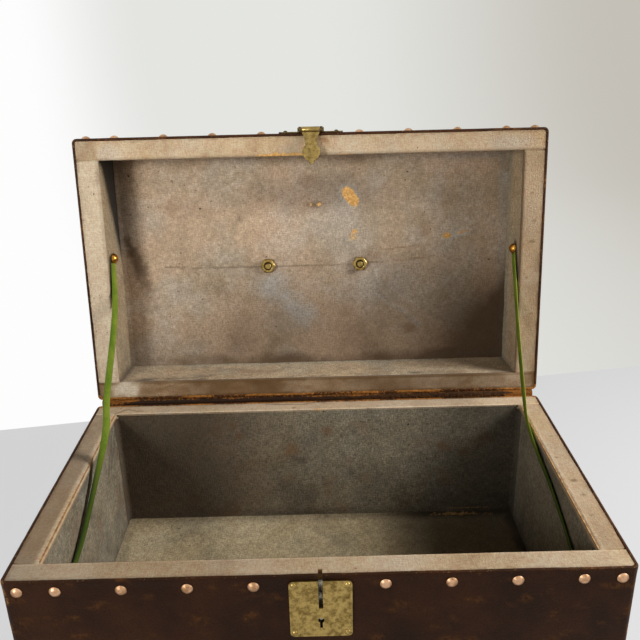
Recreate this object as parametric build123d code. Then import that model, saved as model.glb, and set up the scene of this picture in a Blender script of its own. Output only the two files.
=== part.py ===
from build123d import *
import math
import os

# A leather-covered document box of wooden boards: a cloth-lined base and lid on a leather hinge,
# dome-headed brass studs, a brass hasp and lock, a bail handle and two ribbon stays.
# Millimetres. The origin is the centre of the underside, +Z is up and -Y is the front.
# Every lid piece is drawn with the lid shut and then swung open to the resting pose.

# Case
outer_width = 400.0
outer_depth = 232.0
base_height = 127.0
lid_height = 62.0
corner_radius = 4.0
rim_gap = 0.4
side_board = 17.6
front_board = 16.0
back_board = 13.8
bottom_board = 11.0
top_board = 10.2
leather = 1.8
lining = 0.6
base_bend = 10.0
lid_bend = 4.0
rim_lip = 0.4

# Leather hinge: the line it folds about is behind the back face and just above the base's rim
hinge_set_back = 3.0
hinge_rise = 1.2
hinge_leather = 1.2
hinge_leaf = 24.0
hinge_end = 4.0
glue_line = 0.05
open_angle = 97.3

# Dome-headed studs
stud_pitch = 41.5
stud_inset = 10.0
stud_row = 8.0
hinge_row = 12.0
stud_head = 3.7
stud_dome = 1.9
stud_shank = 0.9
stud_length = 8.0
top_row = 13.0

# Hasp and its hinge
hasp_offset = 0.5
hasp_knuckle = 2.4
hasp_pin_radius = 1.15
hasp_pin_fit = 0.05
hasp_pin_press = 0.02
hasp_drop = 1.0
hasp_clear = 0.4
hasp_leaf = 1.5
hasp_width = 14.6
hasp_waist = 9.6
hasp_disc = 7.4
hasp_disc_drop = 19.2
hasp_length = 30.0
hasp_tab = 3.6
hasp_plate = 1.2
hasp_plate_width = 54.0
hasp_plate_height = 13.0
hasp_plate_corner = 4.0
hasp_ear = 2.6
hasp_ear_gap = 0.2
hasp_nail_spacing = 43.0
pin_head = 1.7
pin_head_length = 0.7

# Staple on the back of the hasp
staple_reach = 7.0
staple_height = 10.0
staple_bar = 2.0
staple_clear = 0.4
rest_clearance = 0.3

# Lock in the front of the base
lock_plate = 1.2
lock_plate_width = 40.0
lock_plate_height = 44.0
lock_plate_drop = 3.2
lock_case_width = 28.0
lock_case_height = 34.0
lock_case_depth = 11.0
lock_wall = 1.2
lock_fit = 0.1
lock_plate_corner = 3.0
lock_nail_inset = 3.0
keyhole_radius = 2.0
keyhole_slot = 1.8
keyhole_drop = 15.0
key_post = 1.1
bolt_tail_length = 5.0
bolt_tail_height = 6.0
bolt_nose_height = 3.6
bolt_nose = 1.8
bolt_front_gap = 0.6
bolt_side_gap = 0.15
bolt_back_gap = 0.3
bolt_stand_off = 0.8
guide_rib = 1.2
guide_end = 1.6
small_head = 1.9
small_dome = 1.1
small_shank = 0.7
small_length = 7.0

# Bail handle on the lid
handle_spacing = 86.0
handle_set = 112.0
rose_radius = 11.0
rose_height = 1.6
rose_slope = 3.0
post_ball = 6.0
post_neck = 4.4
post_pivot = 8.5
post_shank = 2.9
post_chamfer = 0.6
post_foot = 6.4
post_foot_edge = 0.8
post_hole_fit = 0.1
bolt_end = 1.4
nut_flats = 12.4
nut_height = 4.5
nut_sink = 1.0
nut_chamfer = 0.9
bail_pin = 2.2
bail_pin_fit = 0.06
bail_rod = 3.0
bail_grip = 4.6
bail_reach = 36.0
bail_side_gap = 0.3
bail_elbow = 4.4
bail_bend = 16.0

# Ribbon stays: from a tack on the lid's side wall to a tack on the base's side wall
tack_head = 4.8
tack_dome = 4.4
tack_shank = 1.3
tack_length = 12.0
tack_hole_fit = 0.1
lid_tack_set = 127.5
lid_tack_depth = 17.0
base_tack_y = -74.0
base_tack_drop = 44.0
ribbon_width = 7.0
ribbon_thickness = 0.7
ribbon_tab = 0.9
ribbon_tab_gap = 0.1
ribbon_wall_gap = 0.6
ribbon_bend = 18.0
ribbon_start = 8.0
tab_radius = 4.2
tab_width = 4.2
# Points along each ribbon between its tacks, as distances forward of the hinge side and up from the underside
left_ribbon_route = [(55.0, 168.5), (40.0, 143.0), (-9.0, 118.5), (-50.0, 95.5)]
right_ribbon_route = [(81.0, 152.5), (55.0, 127.0), (-12.0, 112.5), (-58.0, 95.0)]

# Faces and levels worked out from those
half_width = outer_width / 2
half_depth = outer_depth / 2
wood_half_width = half_width - leather
wood_half_depth = half_depth - leather
board_inner_x = wood_half_width - side_board
board_front_y = -wood_half_depth + front_board
board_back_y = wood_half_depth - back_board
cloth_x = board_inner_x - lining
cloth_front_y = board_front_y + lining
cloth_back_y = board_back_y - lining
floor_z = leather + bottom_board
base_board_top = base_height - rim_lip - lining
lid_rim = base_height + rim_gap
lid_top = lid_rim + lid_height
lid_board_bottom = lid_rim + rim_lip + lining
ceiling_z = lid_top - leather - top_board
hinge_y = half_depth + hinge_set_back
hinge_z = base_height + hinge_rise
hasp_y = -half_depth - hasp_clear - hasp_knuckle
hasp_z = lid_rim - hasp_drop
hasp_leaf_face = -half_depth - lock_plate - hasp_clear
staple_y = hasp_leaf_face + staple_reach
staple_z = hasp_z - hasp_disc_drop
lock_plate_top = hasp_z - lock_plate_drop
lock_centre_z = lock_plate_top - lock_plate_height / 2
handle_y = half_depth - handle_set
handle_z = lid_top + rose_height + post_pivot
ribbon_x = cloth_x - ribbon_wall_gap - ribbon_width / 2


def turn_about(y, z, angle):
    """A turn by the angle about a line along X through y and z."""
    return Location((0, y, z)) * Rotation(angle, 0, 0) * Location((0, -y, -z))


swing_open = turn_about(hinge_y, hinge_z, -open_angle)


def block(x0, x1, y0, y1, z0, z1):
    """A square-edged board between two opposite corners."""
    return Pos((x0 + x1) / 2, (y0 + y1) / 2, (z0 + z1) / 2) * Box(x1 - x0, y1 - y0, z1 - z0)


def column(half_x, y0, y1, radius, z0, z1):
    """An upright prism on a rounded rectangle, from z0 to z1."""
    outline = RectangleRounded(2 * half_x, y1 - y0, radius)
    return Pos(0, (y0 + y1) / 2, z0) * extrude(outline, z1 - z0)


def leather_outline(z0, z1):
    return column(half_width, -half_depth, half_depth, corner_radius, z0, z1)


def wood_outline(z0, z1):
    return column(wood_half_width, -wood_half_depth, wood_half_depth, corner_radius - leather, z0, z1)


def board_cavity(radius, z0, z1):
    """The space inside the four wall boards, its corners rounded by the radius."""
    return column(board_inner_x, board_front_y, board_back_y, radius, z0, z1)


def cloth_cavity(bend, z0, z1):
    """The space inside the lining cloth, its corners rounded on the bend."""
    return column(cloth_x, cloth_front_y, cloth_back_y, bend, z0, z1)


def nail(head, dome, shank, length):
    """A domed nail: its head is a cap of a sphere on z = 0, and its shank runs down from there."""
    ball = (head**2 + dome**2) / (2 * dome)
    cap = Pos(0, 0, dome - ball) * Sphere(ball) & block(-head, head, -head, head, 0, dome)
    return cap + hole(shank, length)


def hole(radius, length):
    return Cylinder(radius, length, align=(Align.CENTER, Align.CENTER, Align.MAX))


def row(half_length, first, inset):
    """Stud centres along an edge: one near each end, the others a pitch apart from the first outwards."""
    last = half_length - inset
    count = int((last - first) / stud_pitch - 0.5) + 1
    side = [first + step * stud_pitch for step in range(count)] + [last]
    return sorted({-place for place in side} | set(side))


def front_plane(x, z, lift=0.0):
    """A plane on the front leather, or lifted off it, looking forwards."""
    return Plane((x, -half_depth - lift, z), x_dir=(1, 0, 0), z_dir=(0, -1, 0))


def front_seats(places, z):
    return [front_plane(x, z).location for x in places]


def back_seats(places, z, lift=0.0):
    return [Plane((x, half_depth + lift, z), x_dir=(1, 0, 0), z_dir=(0, 1, 0)).location for x in places]


def side_seats(side, places, z):
    return [Plane((side * half_width, y, z), x_dir=(0, 1, 0), z_dir=(side, 0, 0)).location for y in places]


def top_seats(points):
    return [Location((x, y, lid_top)) for x, y in points]


def small_nails(seats):
    one = nail(small_head, small_dome, small_shank, small_length)
    return [seat * one for seat in seats]


def small_holes(seats):
    one = hole(small_shank, small_length)
    return [seat * one for seat in seats]


def studs(seats):
    one = nail(stud_head, stud_dome, stud_shank, stud_length)
    return [seat * one for seat in seats]


def stud_holes(seats):
    one = hole(stud_shank, stud_length)
    return [seat * one for seat in seats]


# Stud rows. The hasp plate and the lock plate take the place of the middle stud on the front.
long_row = row(half_width, 0.0, stud_inset)
short_row = row(half_depth, stud_pitch / 2, stud_inset)
long_row_parted = [x for x in long_row if abs(x) > stud_pitch / 2]
lid_row_z = lid_rim + stud_row
base_row_z = base_height - stud_row
hinge_nail_lift = hinge_leather + 2 * glue_line
lid_front_seats = front_seats(long_row_parted, lid_row_z)
lid_left_seats = side_seats(-1, short_row, lid_row_z)
lid_right_seats = side_seats(1, short_row, lid_row_z)
lid_hinge_seats = back_seats(long_row, lid_rim + hinge_row, hinge_nail_lift)
lid_top_long = row(half_width, 0.0, top_row)
lid_top_short = row(half_depth, stud_pitch / 2, top_row)
lid_top_seats = top_seats(
    [(x, side * (half_depth - top_row)) for side in (-1, 1) for x in lid_top_long]
    + [(side * (half_width - top_row), y) for side in (-1, 1) for y in lid_top_short[1:-1]]
)
base_front_seats = front_seats(long_row_parted, base_row_z) + front_seats(long_row, stud_row)
base_left_seats = side_seats(-1, short_row, base_row_z) + side_seats(-1, short_row, stud_row)
base_right_seats = side_seats(1, short_row, base_row_z) + side_seats(1, short_row, stud_row)
base_back_seats = back_seats(long_row, stud_row)
base_hinge_seats = back_seats(long_row, base_height - hinge_row, hinge_nail_lift)

base_seats = [base_front_seats, base_left_seats, base_right_seats, base_back_seats, base_hinge_seats]
lid_seats = [lid_front_seats, lid_left_seats, lid_right_seats, lid_hinge_seats]
base_shanks = [one for seats in base_seats for one in stud_holes(seats)]
lid_shanks = [one for seats in lid_seats for one in stud_holes(seats)]
top_shanks = stud_holes(lid_top_seats)


def wall_boards(z0, z1, shanks):
    """Front and back boards run the full width, and the side boards stand between them."""
    outline = wood_outline(z0, z1)
    front = outline & block(-half_width, half_width, -half_depth, board_front_y, z0, z1)
    back = outline & block(-half_width, half_width, board_back_y, half_depth, z0, z1)
    left = block(-wood_half_width, -board_inner_x, board_front_y, board_back_y, z0, z1)
    right = block(board_inner_x, wood_half_width, board_front_y, board_back_y, z0, z1)
    return [board - shanks for board in (front, back, left, right)]


def wall_leather(z0, z1, shanks):
    """The covering leather round the four walls, its cut edge standing proud of the rim's cloth."""
    return leather_outline(z0, z1) - wood_outline(z0, z1) - shanks


def wall_lining(bend, z0, z1):
    """Lining cloth round the inside of the walls, bridging the corners on a bend."""
    return board_cavity(bend + lining, z0, z1) - cloth_cavity(bend, z0, z1)


def rim_cloth(bend, z0, z1):
    """Rim strips of cloth: the front and back ones run the full width, the side ones lie between."""
    ring = wood_outline(z0, z1) - cloth_cavity(bend, z0, z1)
    reach = cloth_x - bend
    front = ring & block(-half_width, half_width, -half_depth, cloth_front_y, z0, z1)
    back = ring & block(-half_width, half_width, cloth_back_y, half_depth, z0, z1)
    left = ring & block(-half_width, -reach, cloth_front_y, cloth_back_y, z0, z1)
    right = ring & block(reach, half_width, cloth_front_y, cloth_back_y, z0, z1)
    return front, back, left, right


def tack_seat(side, y, z, lift=0.0):
    """Where a ribbon tack goes into the cloth of a side wall, facing the middle of the box."""
    return Plane((side * (cloth_x - lift), y, z), x_dir=(0, 1, 0), z_dir=(-side, 0, 0)).location


base_tack_z = base_height - base_tack_drop
lid_tack_y = half_depth - lid_tack_set
lid_tack_z = lid_rim + lid_tack_depth
tack_lift = ribbon_tab + 2 * ribbon_tab_gap


def tack_holes(y, z):
    return [tack_seat(side, y, z) * hole(tack_shank, tack_length) for side in (-1, 1)]


def tacks(y, z):
    one = nail(tack_head, tack_dome, tack_shank, tack_length + tack_lift)
    return [tack_seat(side, y, z, tack_lift) * one for side in (-1, 1)]


def ribbon(side, route):
    """A ribbon stay: a flat tab under each tack, and a strap between them that faces front.

    The strap's centre line is straight runs between the route's points, joined by arcs."""
    lid_tack = (swing_open * Pos(0, lid_tack_y, lid_tack_z)).position
    ends = [(lid_tack.Y, lid_tack.Z), (base_tack_y, base_tack_z)]
    points = [ends[0], *route, ends[1]]
    tab_side = Plane((side * (cloth_x - ribbon_tab_gap), 0, 0), x_dir=(0, 1, 0), z_dir=(1, 0, 0))
    strap_side = Plane((side * ribbon_x, 0, 0), x_dir=(0, 1, 0), z_dir=(1, 0, 0))
    strap_points = [step_along(ends[0], points[1]), *route, step_along(ends[1], points[-2])]
    strap = trace(FilletPolyline(*strap_points, radius=ribbon_bend), ribbon_thickness)
    solid = extrude(strap_side * strap, ribbon_width / 2, both=True)
    for tack, start in ((ends[0], strap_points[0]), (ends[1], strap_points[-1])):
        tab = Pos(*tack) * Circle(tab_radius) + trace(Line(tack, start), tab_width)
        tab -= Pos(*tack) * Circle(tack_shank + tack_hole_fit)
        solid += extrude(tab_side * tab, -side * ribbon_tab)
    return solid


def step_along(tack, target):
    """The point where the strap leaves the tab, a little way from the tack towards the target."""
    length = math.dist(tack, target)
    share = ribbon_start / length
    return (tack[0] + share * (target[0] - tack[0]), tack[1] + share * (target[1] - tack[1]))


def hinge_strip():
    """The hinge leather: a leaf on the base's back, a fold round the hinge line, a leaf on the lid's back.

    Its section is drawn in the plane across the hinge, with the fold as an arc about the hinge line."""
    outer = hinge_set_back - glue_line
    inner = outer - hinge_leather
    turn = math.radians(open_angle)
    flat = (math.sin(turn), math.cos(turn))
    up = (-math.cos(turn), math.sin(turn))
    leaf_end = base_height - hinge_leaf - hinge_z
    lid_leaf = hinge_leaf + lid_rim - hinge_z

    def on_fold(radius, share):
        angle = math.pi - share * turn
        return (radius * math.cos(angle), radius * math.sin(angle))

    def on_lid(radius, distance):
        return (radius * up[0] + distance * flat[0], radius * up[1] + distance * flat[1])

    edges = [
        Line((-outer, leaf_end), (-outer, 0)),
        ThreePointArc((-outer, 0), on_fold(outer, 0.5), on_fold(outer, 1)),
        Line(on_fold(outer, 1), on_lid(outer, lid_leaf)),
        Line(on_lid(outer, lid_leaf), on_lid(inner, lid_leaf)),
        Line(on_lid(inner, lid_leaf), on_fold(inner, 1)),
        ThreePointArc(on_fold(inner, 1), on_fold(inner, 0.5), (-inner, 0)),
        Line((-inner, 0), (-inner, leaf_end)),
        Line((-inner, leaf_end), (-outer, leaf_end)),
    ]
    across = Plane((0, hinge_y, hinge_z), x_dir=(0, 1, 0), z_dir=(1, 0, 0))
    strip = extrude(across * make_face(edges), half_width - hinge_end, both=True)
    nail_hole = hole(stud_shank + glue_line, stud_length)
    base_holes = [seat * nail_hole for seat in base_hinge_seats]
    lid_holes = [swing_open * seat * nail_hole for seat in lid_hinge_seats]
    return strip - base_holes - lid_holes


def barrel(radius, x0, x1, y, z):
    """A round bar or bore along X."""
    return Pos((x0 + x1) / 2, y, z) * Rotation(0, 90, 0) * Cylinder(radius, x1 - x0)


def hasp_outline():
    """The hasp seen from the front, hanging from its pin at the origin: waisted neck, disc and finger tab."""
    half, waist = hasp_width / 2, hasp_waist / 2
    neck_end = -hasp_disc_drop + 0.95 * hasp_disc
    shoulder = -1.3 * hasp_knuckle
    middle = (waist + 0.25 * (half - waist), (shoulder + neck_end) / 2 + 0.5)
    neck = make_face(
        [
            Polyline((-half, shoulder), (-half, 0), (half, 0), (half, shoulder)),
            ThreePointArc((half, shoulder), middle, (waist, neck_end)),
            Line((waist, neck_end), (-waist, neck_end)),
            ThreePointArc((-waist, neck_end), (-middle[0], middle[1]), (-half, shoulder)),
        ]
    )
    disc = Pos(0, -hasp_disc_drop) * Circle(hasp_disc)
    stem = Pos(0, -hasp_disc_drop) * Rectangle(hasp_waist, 2 * hasp_disc_drop - 2 * abs(neck_end))
    chin_drop = hasp_disc_drop + 0.55 * hasp_disc
    chin = Pos(0, -chin_drop) * Circle(0.6 * hasp_disc)
    tab_top = -hasp_disc_drop
    tab_bottom = -hasp_length + hasp_tab / 2
    tab = Pos(0, (tab_top + tab_bottom) / 2) * Rectangle(hasp_tab, tab_top - tab_bottom)
    return neck + stem + disc + chin + tab + Pos(0, tab_bottom) * Circle(hasp_tab / 2)


def hasp_leaf_solid():
    leaf = extrude(front_plane(hasp_offset, hasp_z, lock_plate + hasp_clear) * hasp_outline(), hasp_leaf)
    left, right = hasp_offset - hasp_width / 2, hasp_offset + hasp_width / 2
    leaf += barrel(hasp_knuckle, left, right, hasp_y, hasp_z)
    return leaf - barrel(hasp_pin_radius + hasp_pin_press, left, right, hasp_y, hasp_z)


def hasp_staple():
    """A round-ended loop behind the disc, standing across the path of the lock's bolt."""
    straight = staple_reach - staple_height / 2
    across = Plane((hasp_offset, hasp_leaf_face, staple_z), x_dir=(0, 1, 0), z_dir=(1, 0, 0))
    loop = Rectangle(straight, staple_height, align=(Align.MIN, Align.CENTER))
    loop += Pos(straight, 0) * Circle(staple_height / 2)
    gap = Rectangle(straight, staple_height - 2 * staple_bar, align=(Align.MIN, Align.CENTER))
    gap += Pos(straight, 0) * Circle(staple_height / 2 - staple_bar)
    loop = (loop - gap) & Rectangle(2 * staple_reach, 2 * staple_height, align=(Align.MIN, Align.CENTER))
    return extrude(across * loop, staple_bar / 2, both=True)


def hasp_pin():
    reach = hasp_width / 2 + hasp_ear_gap + hasp_ear
    pin = barrel(hasp_pin_radius, hasp_offset - reach, hasp_offset + reach, hasp_y, hasp_z)
    for side in (-1, 1):
        inner = hasp_offset + side * (reach + hasp_ear_gap)
        outer = inner + side * pin_head_length
        pin += barrel(pin_head, min(inner, outer), max(inner, outer), hasp_y, hasp_z)
        stub = hasp_offset + side * reach
        pin += barrel(hasp_pin_radius, min(stub, inner), max(stub, inner), hasp_y, hasp_z)
    return pin


def hasp_plate_solid():
    """A nailed plate on the lid's front, its lower edge rolled into an ear at each end of the knuckle."""
    outline = RectangleRounded(hasp_plate_width, hasp_plate_height, hasp_plate_corner)
    plate = extrude(front_plane(hasp_offset, hasp_nail_z) * outline, hasp_plate)
    strap_top = hasp_plate_bottom + hasp_plate_height / 3
    for side in (-1, 1):
        inner = hasp_offset + side * (hasp_width / 2 + hasp_ear_gap)
        outer = inner + side * hasp_ear
        left, right = min(inner, outer), max(inner, outer)
        back_y = hasp_y + hasp_knuckle
        plate += block(left, right, back_y - hasp_plate, back_y, hasp_z, strap_top)
        plate += barrel(hasp_knuckle, left, right, hasp_y, hasp_z)
    reach = hasp_width / 2 + hasp_ear_gap + hasp_ear
    plate -= barrel(hasp_pin_radius + hasp_pin_fit, hasp_offset - reach, hasp_offset + reach, hasp_y, hasp_z)
    return plate - small_holes(hasp_nail_seats)


hasp_plate_bottom = hasp_z + hasp_knuckle - hasp_ear_gap
hasp_nail_z = hasp_plate_bottom + hasp_plate_height / 2
hasp_nail_seats = [
    front_plane(hasp_offset + x, hasp_nail_z, hasp_plate).location
    for x in (-hasp_nail_spacing / 2, hasp_nail_spacing / 2)
]
hasp_nail_holes = small_holes(hasp_nail_seats)

lock_nail_x = lock_plate_width / 2 - lock_nail_inset
lock_nail_z = lock_plate_height / 2 - lock_nail_inset
lock_nail_seats = [
    front_plane(hasp_offset + x, lock_centre_z + z, lock_plate).location
    for x in (-lock_nail_x, lock_nail_x)
    for z in (-lock_nail_z, lock_nail_z)
]
lock_nail_holes = small_holes(lock_nail_seats)


def lock_space(fit, y0, y1):
    """The lock case's outline from y0 to y1, larger by the fit on every side."""
    left, right = hasp_offset - lock_case_width / 2, hasp_offset + lock_case_width / 2
    low, high = lock_centre_z - lock_case_height / 2, lock_centre_z + lock_case_height / 2
    return block(left - fit, right + fit, y0, y1, low - fit, high + fit)


lock_back_y = -half_depth + lock_case_depth
lock_mortise = lock_space(lock_fit, -half_depth, lock_back_y + lock_fit)
keyhole_z = staple_z - keyhole_drop

# The channel is open at the rim, because the staple comes down into it as the lid shuts
staple_channel = block(
    hasp_offset - staple_bar / 2 - staple_clear,
    hasp_offset + staple_bar / 2 + staple_clear,
    -outer_depth,
    staple_y + 2 * staple_clear,
    staple_z - staple_height / 2 - staple_clear,
    lid_rim,
)


def lock_plate_solid():
    """The plate over the lock, with the staple's open-topped slot and a keyhole below it."""
    outline = Pos(0, lock_centre_z) * RectangleRounded(lock_plate_width, lock_plate_height, lock_plate_corner)
    outline -= Pos(0, keyhole_z) * Circle(keyhole_radius)
    outline -= Pos(0, keyhole_z - 1.5 * keyhole_radius) * Rectangle(keyhole_slot, 3 * keyhole_radius)
    return extrude(front_plane(hasp_offset, 0) * outline, lock_plate) - lock_nail_holes - staple_channel


def lock_case():
    """An open-fronted steel case, with two ribs that guide the bolt and a post for the key's hollow shaft."""
    inside = lock_space(-lock_wall, -half_depth, lock_back_y - lock_wall)
    case = lock_space(0, -half_depth, lock_back_y) - inside
    rib_left = hasp_offset - lock_case_width / 2 + lock_wall / 2
    rib_right = hasp_offset - guide_end
    rib_front = -half_depth + bolt_front_gap
    for side in (-1, 1):
        near = staple_z + side * (bolt_tail_height / 2 + bolt_side_gap)
        far = near + side * guide_rib
        case += block(rib_left, rib_right, rib_front, lock_back_y, min(near, far), max(near, far))
    case -= staple_channel
    post_y = (lock_back_y - half_depth + bolt_front_gap) / 2
    post_length = lock_case_depth - bolt_front_gap
    return case + Pos(hasp_offset, post_y, keyhole_z) * Rotation(90, 0, 0) * Cylinder(key_post, post_length)


def lock_bolt():
    """The drawn-back bolt: a tail between the guide ribs and a thin nose that shoots through the staple."""
    left = hasp_offset - lock_case_width / 2 + lock_wall + bolt_back_gap
    middle = left + bolt_tail_length
    right = hasp_offset - staple_bar / 2 - bolt_stand_off
    front = -half_depth + bolt_front_gap
    back = lock_back_y - lock_wall - bolt_back_gap
    tail_z = bolt_tail_height / 2
    nose_z = bolt_nose_height / 2
    tail = block(left, middle, front, back, staple_z - tail_z, staple_z + tail_z)
    return tail + block(middle, right, front, front + bolt_nose, staple_z - nose_z, staple_z + nose_z)


def turned(points):
    """A turned piece: the closed outline of radius and height, spun round the Z axis."""
    return revolve(Plane.XZ * make_face(Polyline(*points, close=True)), Axis.Z)


def handle_rose():
    """A stepped washer under each post."""
    bore = post_shank + post_hole_fit
    rim, top = rose_radius, rose_radius - rose_slope
    return turned([(bore, 0), (rim, 0), (rim, 0.4 * rose_height), (top, rose_height), (bore, rose_height)])


def handle_post():
    """A ball on a flared neck, bored across for the bail, with a threaded shank below."""
    shank_end = -(lid_top - ceiling_z + lining + nut_height + bolt_end + rose_height)
    outline = [
        (0, shank_end),
        (post_shank - post_chamfer, shank_end),
        (post_shank, shank_end + post_chamfer),
        (post_shank, 0),
        (post_foot, 0),
        (post_foot, post_foot_edge),
        (post_neck, post_foot_edge + post_foot - post_neck),
        (post_neck, post_pivot),
        (0, post_pivot),
    ]
    post = turned(outline) + Pos(0, 0, post_pivot) * Sphere(post_ball)
    return post - barrel(bail_pin + bail_pin_fit, -post_ball, post_ball, 0, post_pivot)


def handle_nut():
    """A hexagon nut with chamfered corners, dished round its threaded hole."""
    hexagon = RegularPolygon(nut_flats / 2, 6, major_radius=False)
    corner = nut_flats / math.sqrt(3)
    blank = extrude(hexagon, nut_height)
    bore = post_shank + post_hole_fit / 2
    shoulder = nut_height - nut_chamfer
    top_corner = corner - 1.7 * nut_chamfer
    cone = turned([(0, 0), (corner, 0), (corner, shoulder), (top_corner, nut_height), (0, nut_height)])
    dish_z = nut_height - nut_sink
    dish = turned([(0, dish_z), (bore, dish_z), (bore + nut_sink, nut_height), (0, nut_height)])
    return (blank & cone) - Pos(0, 0, nut_height / 2) * Cylinder(bore, nut_height) - dish


def handle_bail():
    """The bail lying on the lid: two pins, square shoulders, side arms and a grip that swells midway."""
    pin_end = handle_spacing / 2 - post_ball
    shoulder = handle_spacing / 2 + post_ball + bail_side_gap
    arm = shoulder + bail_elbow + bail_side_gap
    path = FilletPolyline(
        (-shoulder, 0),
        (-arm, 0),
        (-arm, bail_reach),
        (arm, bail_reach),
        (arm, 0),
        (shoulder, 0),
        radius=[bail_elbow, bail_bend, bail_bend, bail_elbow],
    )
    rod = sweep(Plane((-shoulder, 0, 0), z_dir=(-1, 0, 0)) * Circle(bail_rod), path=path)
    swell = arm - bail_bend
    waist = bail_rod - bail_side_gap
    grip = make_face(
        [
            ThreePointArc((-swell, waist), (0, bail_grip), (swell, waist)),
            Polyline((swell, waist), (swell, 0), (-swell, 0), (-swell, waist)),
        ]
    )
    bail = rod + Pos(0, bail_reach, 0) * revolve(grip, Axis.X)
    for side in (-1, 1):
        ends = sorted((side * pin_end, side * (shoulder + bail_pin)))
        bail += barrel(bail_pin, ends[0], ends[1], 0, 0)
    return Pos(0, handle_y, handle_z) * bail


handle_places = [Pos(side * handle_spacing / 2, handle_y, 0) for side in (-1, 1)]
handle_hole = hole(post_shank + post_hole_fit, lid_top - ceiling_z + 2 * lining)
handle_holes = [place * Pos(0, 0, lid_top) * handle_hole for place in handle_places]
nut_seats = [place * Pos(0, 0, ceiling_z - lining) * Rotation(180, 0, 0) for place in handle_places]

# With the lid open the hasp lies folded over its rim, the staple's round end just clear of the rim cloth.
# From the pin, that end's centre is hasp_disc_drop along the leaf and staple_behind behind it.
staple_round = staple_height / 2
staple_behind = staple_y - staple_round - hasp_y
rim_above_pin = hasp_drop + rim_lip - rest_clearance
lean = math.atan2(staple_behind, hasp_disc_drop)
staple_arm = math.hypot(hasp_disc_drop, staple_behind)
hasp_lift = math.degrees(lean + math.asin((staple_round - rim_above_pin) / staple_arm))
hasp_fold = turn_about(hasp_y, hasp_z, 90 - hasp_lift)
bail_hang = turn_about(handle_y, handle_z, open_angle - 90)

base_tacks = tacks(base_tack_y, base_tack_z)
lid_tacks = tacks(lid_tack_y, lid_tack_z)
base_tack_holes = tack_holes(base_tack_y, base_tack_z)
lid_tack_holes = tack_holes(lid_tack_y, lid_tack_z)
base_skin_cuts = base_shanks + lock_nail_holes + [lock_mortise, staple_channel]
base_walls = wall_boards(floor_z, base_board_top, base_skin_cuts + base_tack_holes)
lid_walls = wall_boards(lid_board_bottom, ceiling_z, lid_shanks + hasp_nail_holes + lid_tack_holes)
base_rim = rim_cloth(base_bend, base_board_top, base_board_top + lining)
lid_rim_cloth = rim_cloth(lid_bend, lid_board_bottom - lining, lid_board_bottom)

base_nodes = {
    "base_front_board": base_walls[0],
    "base_back_board": base_walls[1],
    "base_left_board": base_walls[2],
    "base_right_board": base_walls[3],
    "base_bottom_board": wood_outline(leather, floor_z) - base_shanks,
    "base_wall_leather": wall_leather(leather, base_height, base_skin_cuts),
    "base_bottom_leather": leather_outline(0, leather),
    "base_wall_lining": wall_lining(base_bend, floor_z, base_board_top) - base_tack_holes,
    "base_floor_lining": cloth_cavity(base_bend, floor_z, floor_z + lining),
    "base_rim_cloth_front": base_rim[0] - staple_channel,
    "base_rim_cloth_back": base_rim[1],
    "base_rim_cloth_left": base_rim[2],
    "base_rim_cloth_right": base_rim[3],
    "base_studs_front": studs(base_front_seats),
    "base_studs_back": studs(base_back_seats),
    "base_studs_left": studs(base_left_seats),
    "base_studs_right": studs(base_right_seats),
    "base_hinge_studs": studs(base_hinge_seats),
    "hinge_leather_strip": hinge_strip(),
    "lock_plate": lock_plate_solid(),
    "lock_plate_nails": small_nails(lock_nail_seats),
    "lock_case": lock_case(),
    "lock_bolt": lock_bolt(),
    "base_ribbon_tacks": base_tacks,
    "ribbon_left": ribbon(-1, left_ribbon_route),
    "ribbon_right": ribbon(1, right_ribbon_route),
}

lid_nodes = {
    "lid_front_board": lid_walls[0],
    "lid_back_board": lid_walls[1],
    "lid_left_board": lid_walls[2],
    "lid_right_board": lid_walls[3],
    "lid_top_board": wood_outline(ceiling_z, lid_top - leather) - top_shanks - handle_holes,
    "lid_wall_leather": wall_leather(lid_rim, lid_top - leather, lid_shanks + hasp_nail_holes),
    "lid_top_leather": leather_outline(lid_top - leather, lid_top) - top_shanks - handle_holes,
    "lid_wall_lining": wall_lining(lid_bend, lid_board_bottom, ceiling_z) - lid_tack_holes,
    "lid_ceiling_lining": cloth_cavity(lid_bend, ceiling_z - lining, ceiling_z) - handle_holes,
    "lid_rim_cloth_front": lid_rim_cloth[0],
    "lid_rim_cloth_back": lid_rim_cloth[1],
    "lid_rim_cloth_left": lid_rim_cloth[2],
    "lid_rim_cloth_right": lid_rim_cloth[3],
    "lid_studs_front": studs(lid_front_seats),
    "lid_studs_left": studs(lid_left_seats),
    "lid_studs_right": studs(lid_right_seats),
    "lid_studs_top": studs(lid_top_seats),
    "lid_hinge_studs": studs(lid_hinge_seats),
    "lid_ribbon_tacks": lid_tacks,
    "hasp_plate": hasp_plate_solid(),
    "hasp_plate_nails": small_nails(hasp_nail_seats),
    "handle_roses": [place * Pos(0, 0, lid_top) * handle_rose() for place in handle_places],
    "handle_posts": [place * Pos(0, 0, lid_top + rose_height) * handle_post() for place in handle_places],
    "handle_nuts": [seat * handle_nut() for seat in nut_seats],
    "handle_bail": bail_hang * handle_bail(),
}

hasp_nodes = {"hasp_leaf": hasp_leaf_solid(), "hasp_staple": hasp_staple(), "hasp_pin": hasp_pin()}


def placed(shape, where):
    """The shape moved to its resting place, or a group of shapes as one compound."""
    if isinstance(shape, list):
        return Compound(children=[where * piece for piece in shape])
    return where * shape


os.makedirs("parts", exist_ok=True)
stay = Location((0, 0, 0))
for nodes, where in ((base_nodes, stay), (lid_nodes, swing_open), (hasp_nodes, swing_open * hasp_fold)):
    for name, shape in nodes.items():
        export_step(placed(shape, where), f"parts/{name}.step")
print(f"{len(base_nodes) + len(lid_nodes) + len(hasp_nodes)} nodes, hasp lift {hasp_lift:.2f} degrees")
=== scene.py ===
import functools
import math

import bpy
import numpy as np
from mathutils import Matrix, Vector


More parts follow.
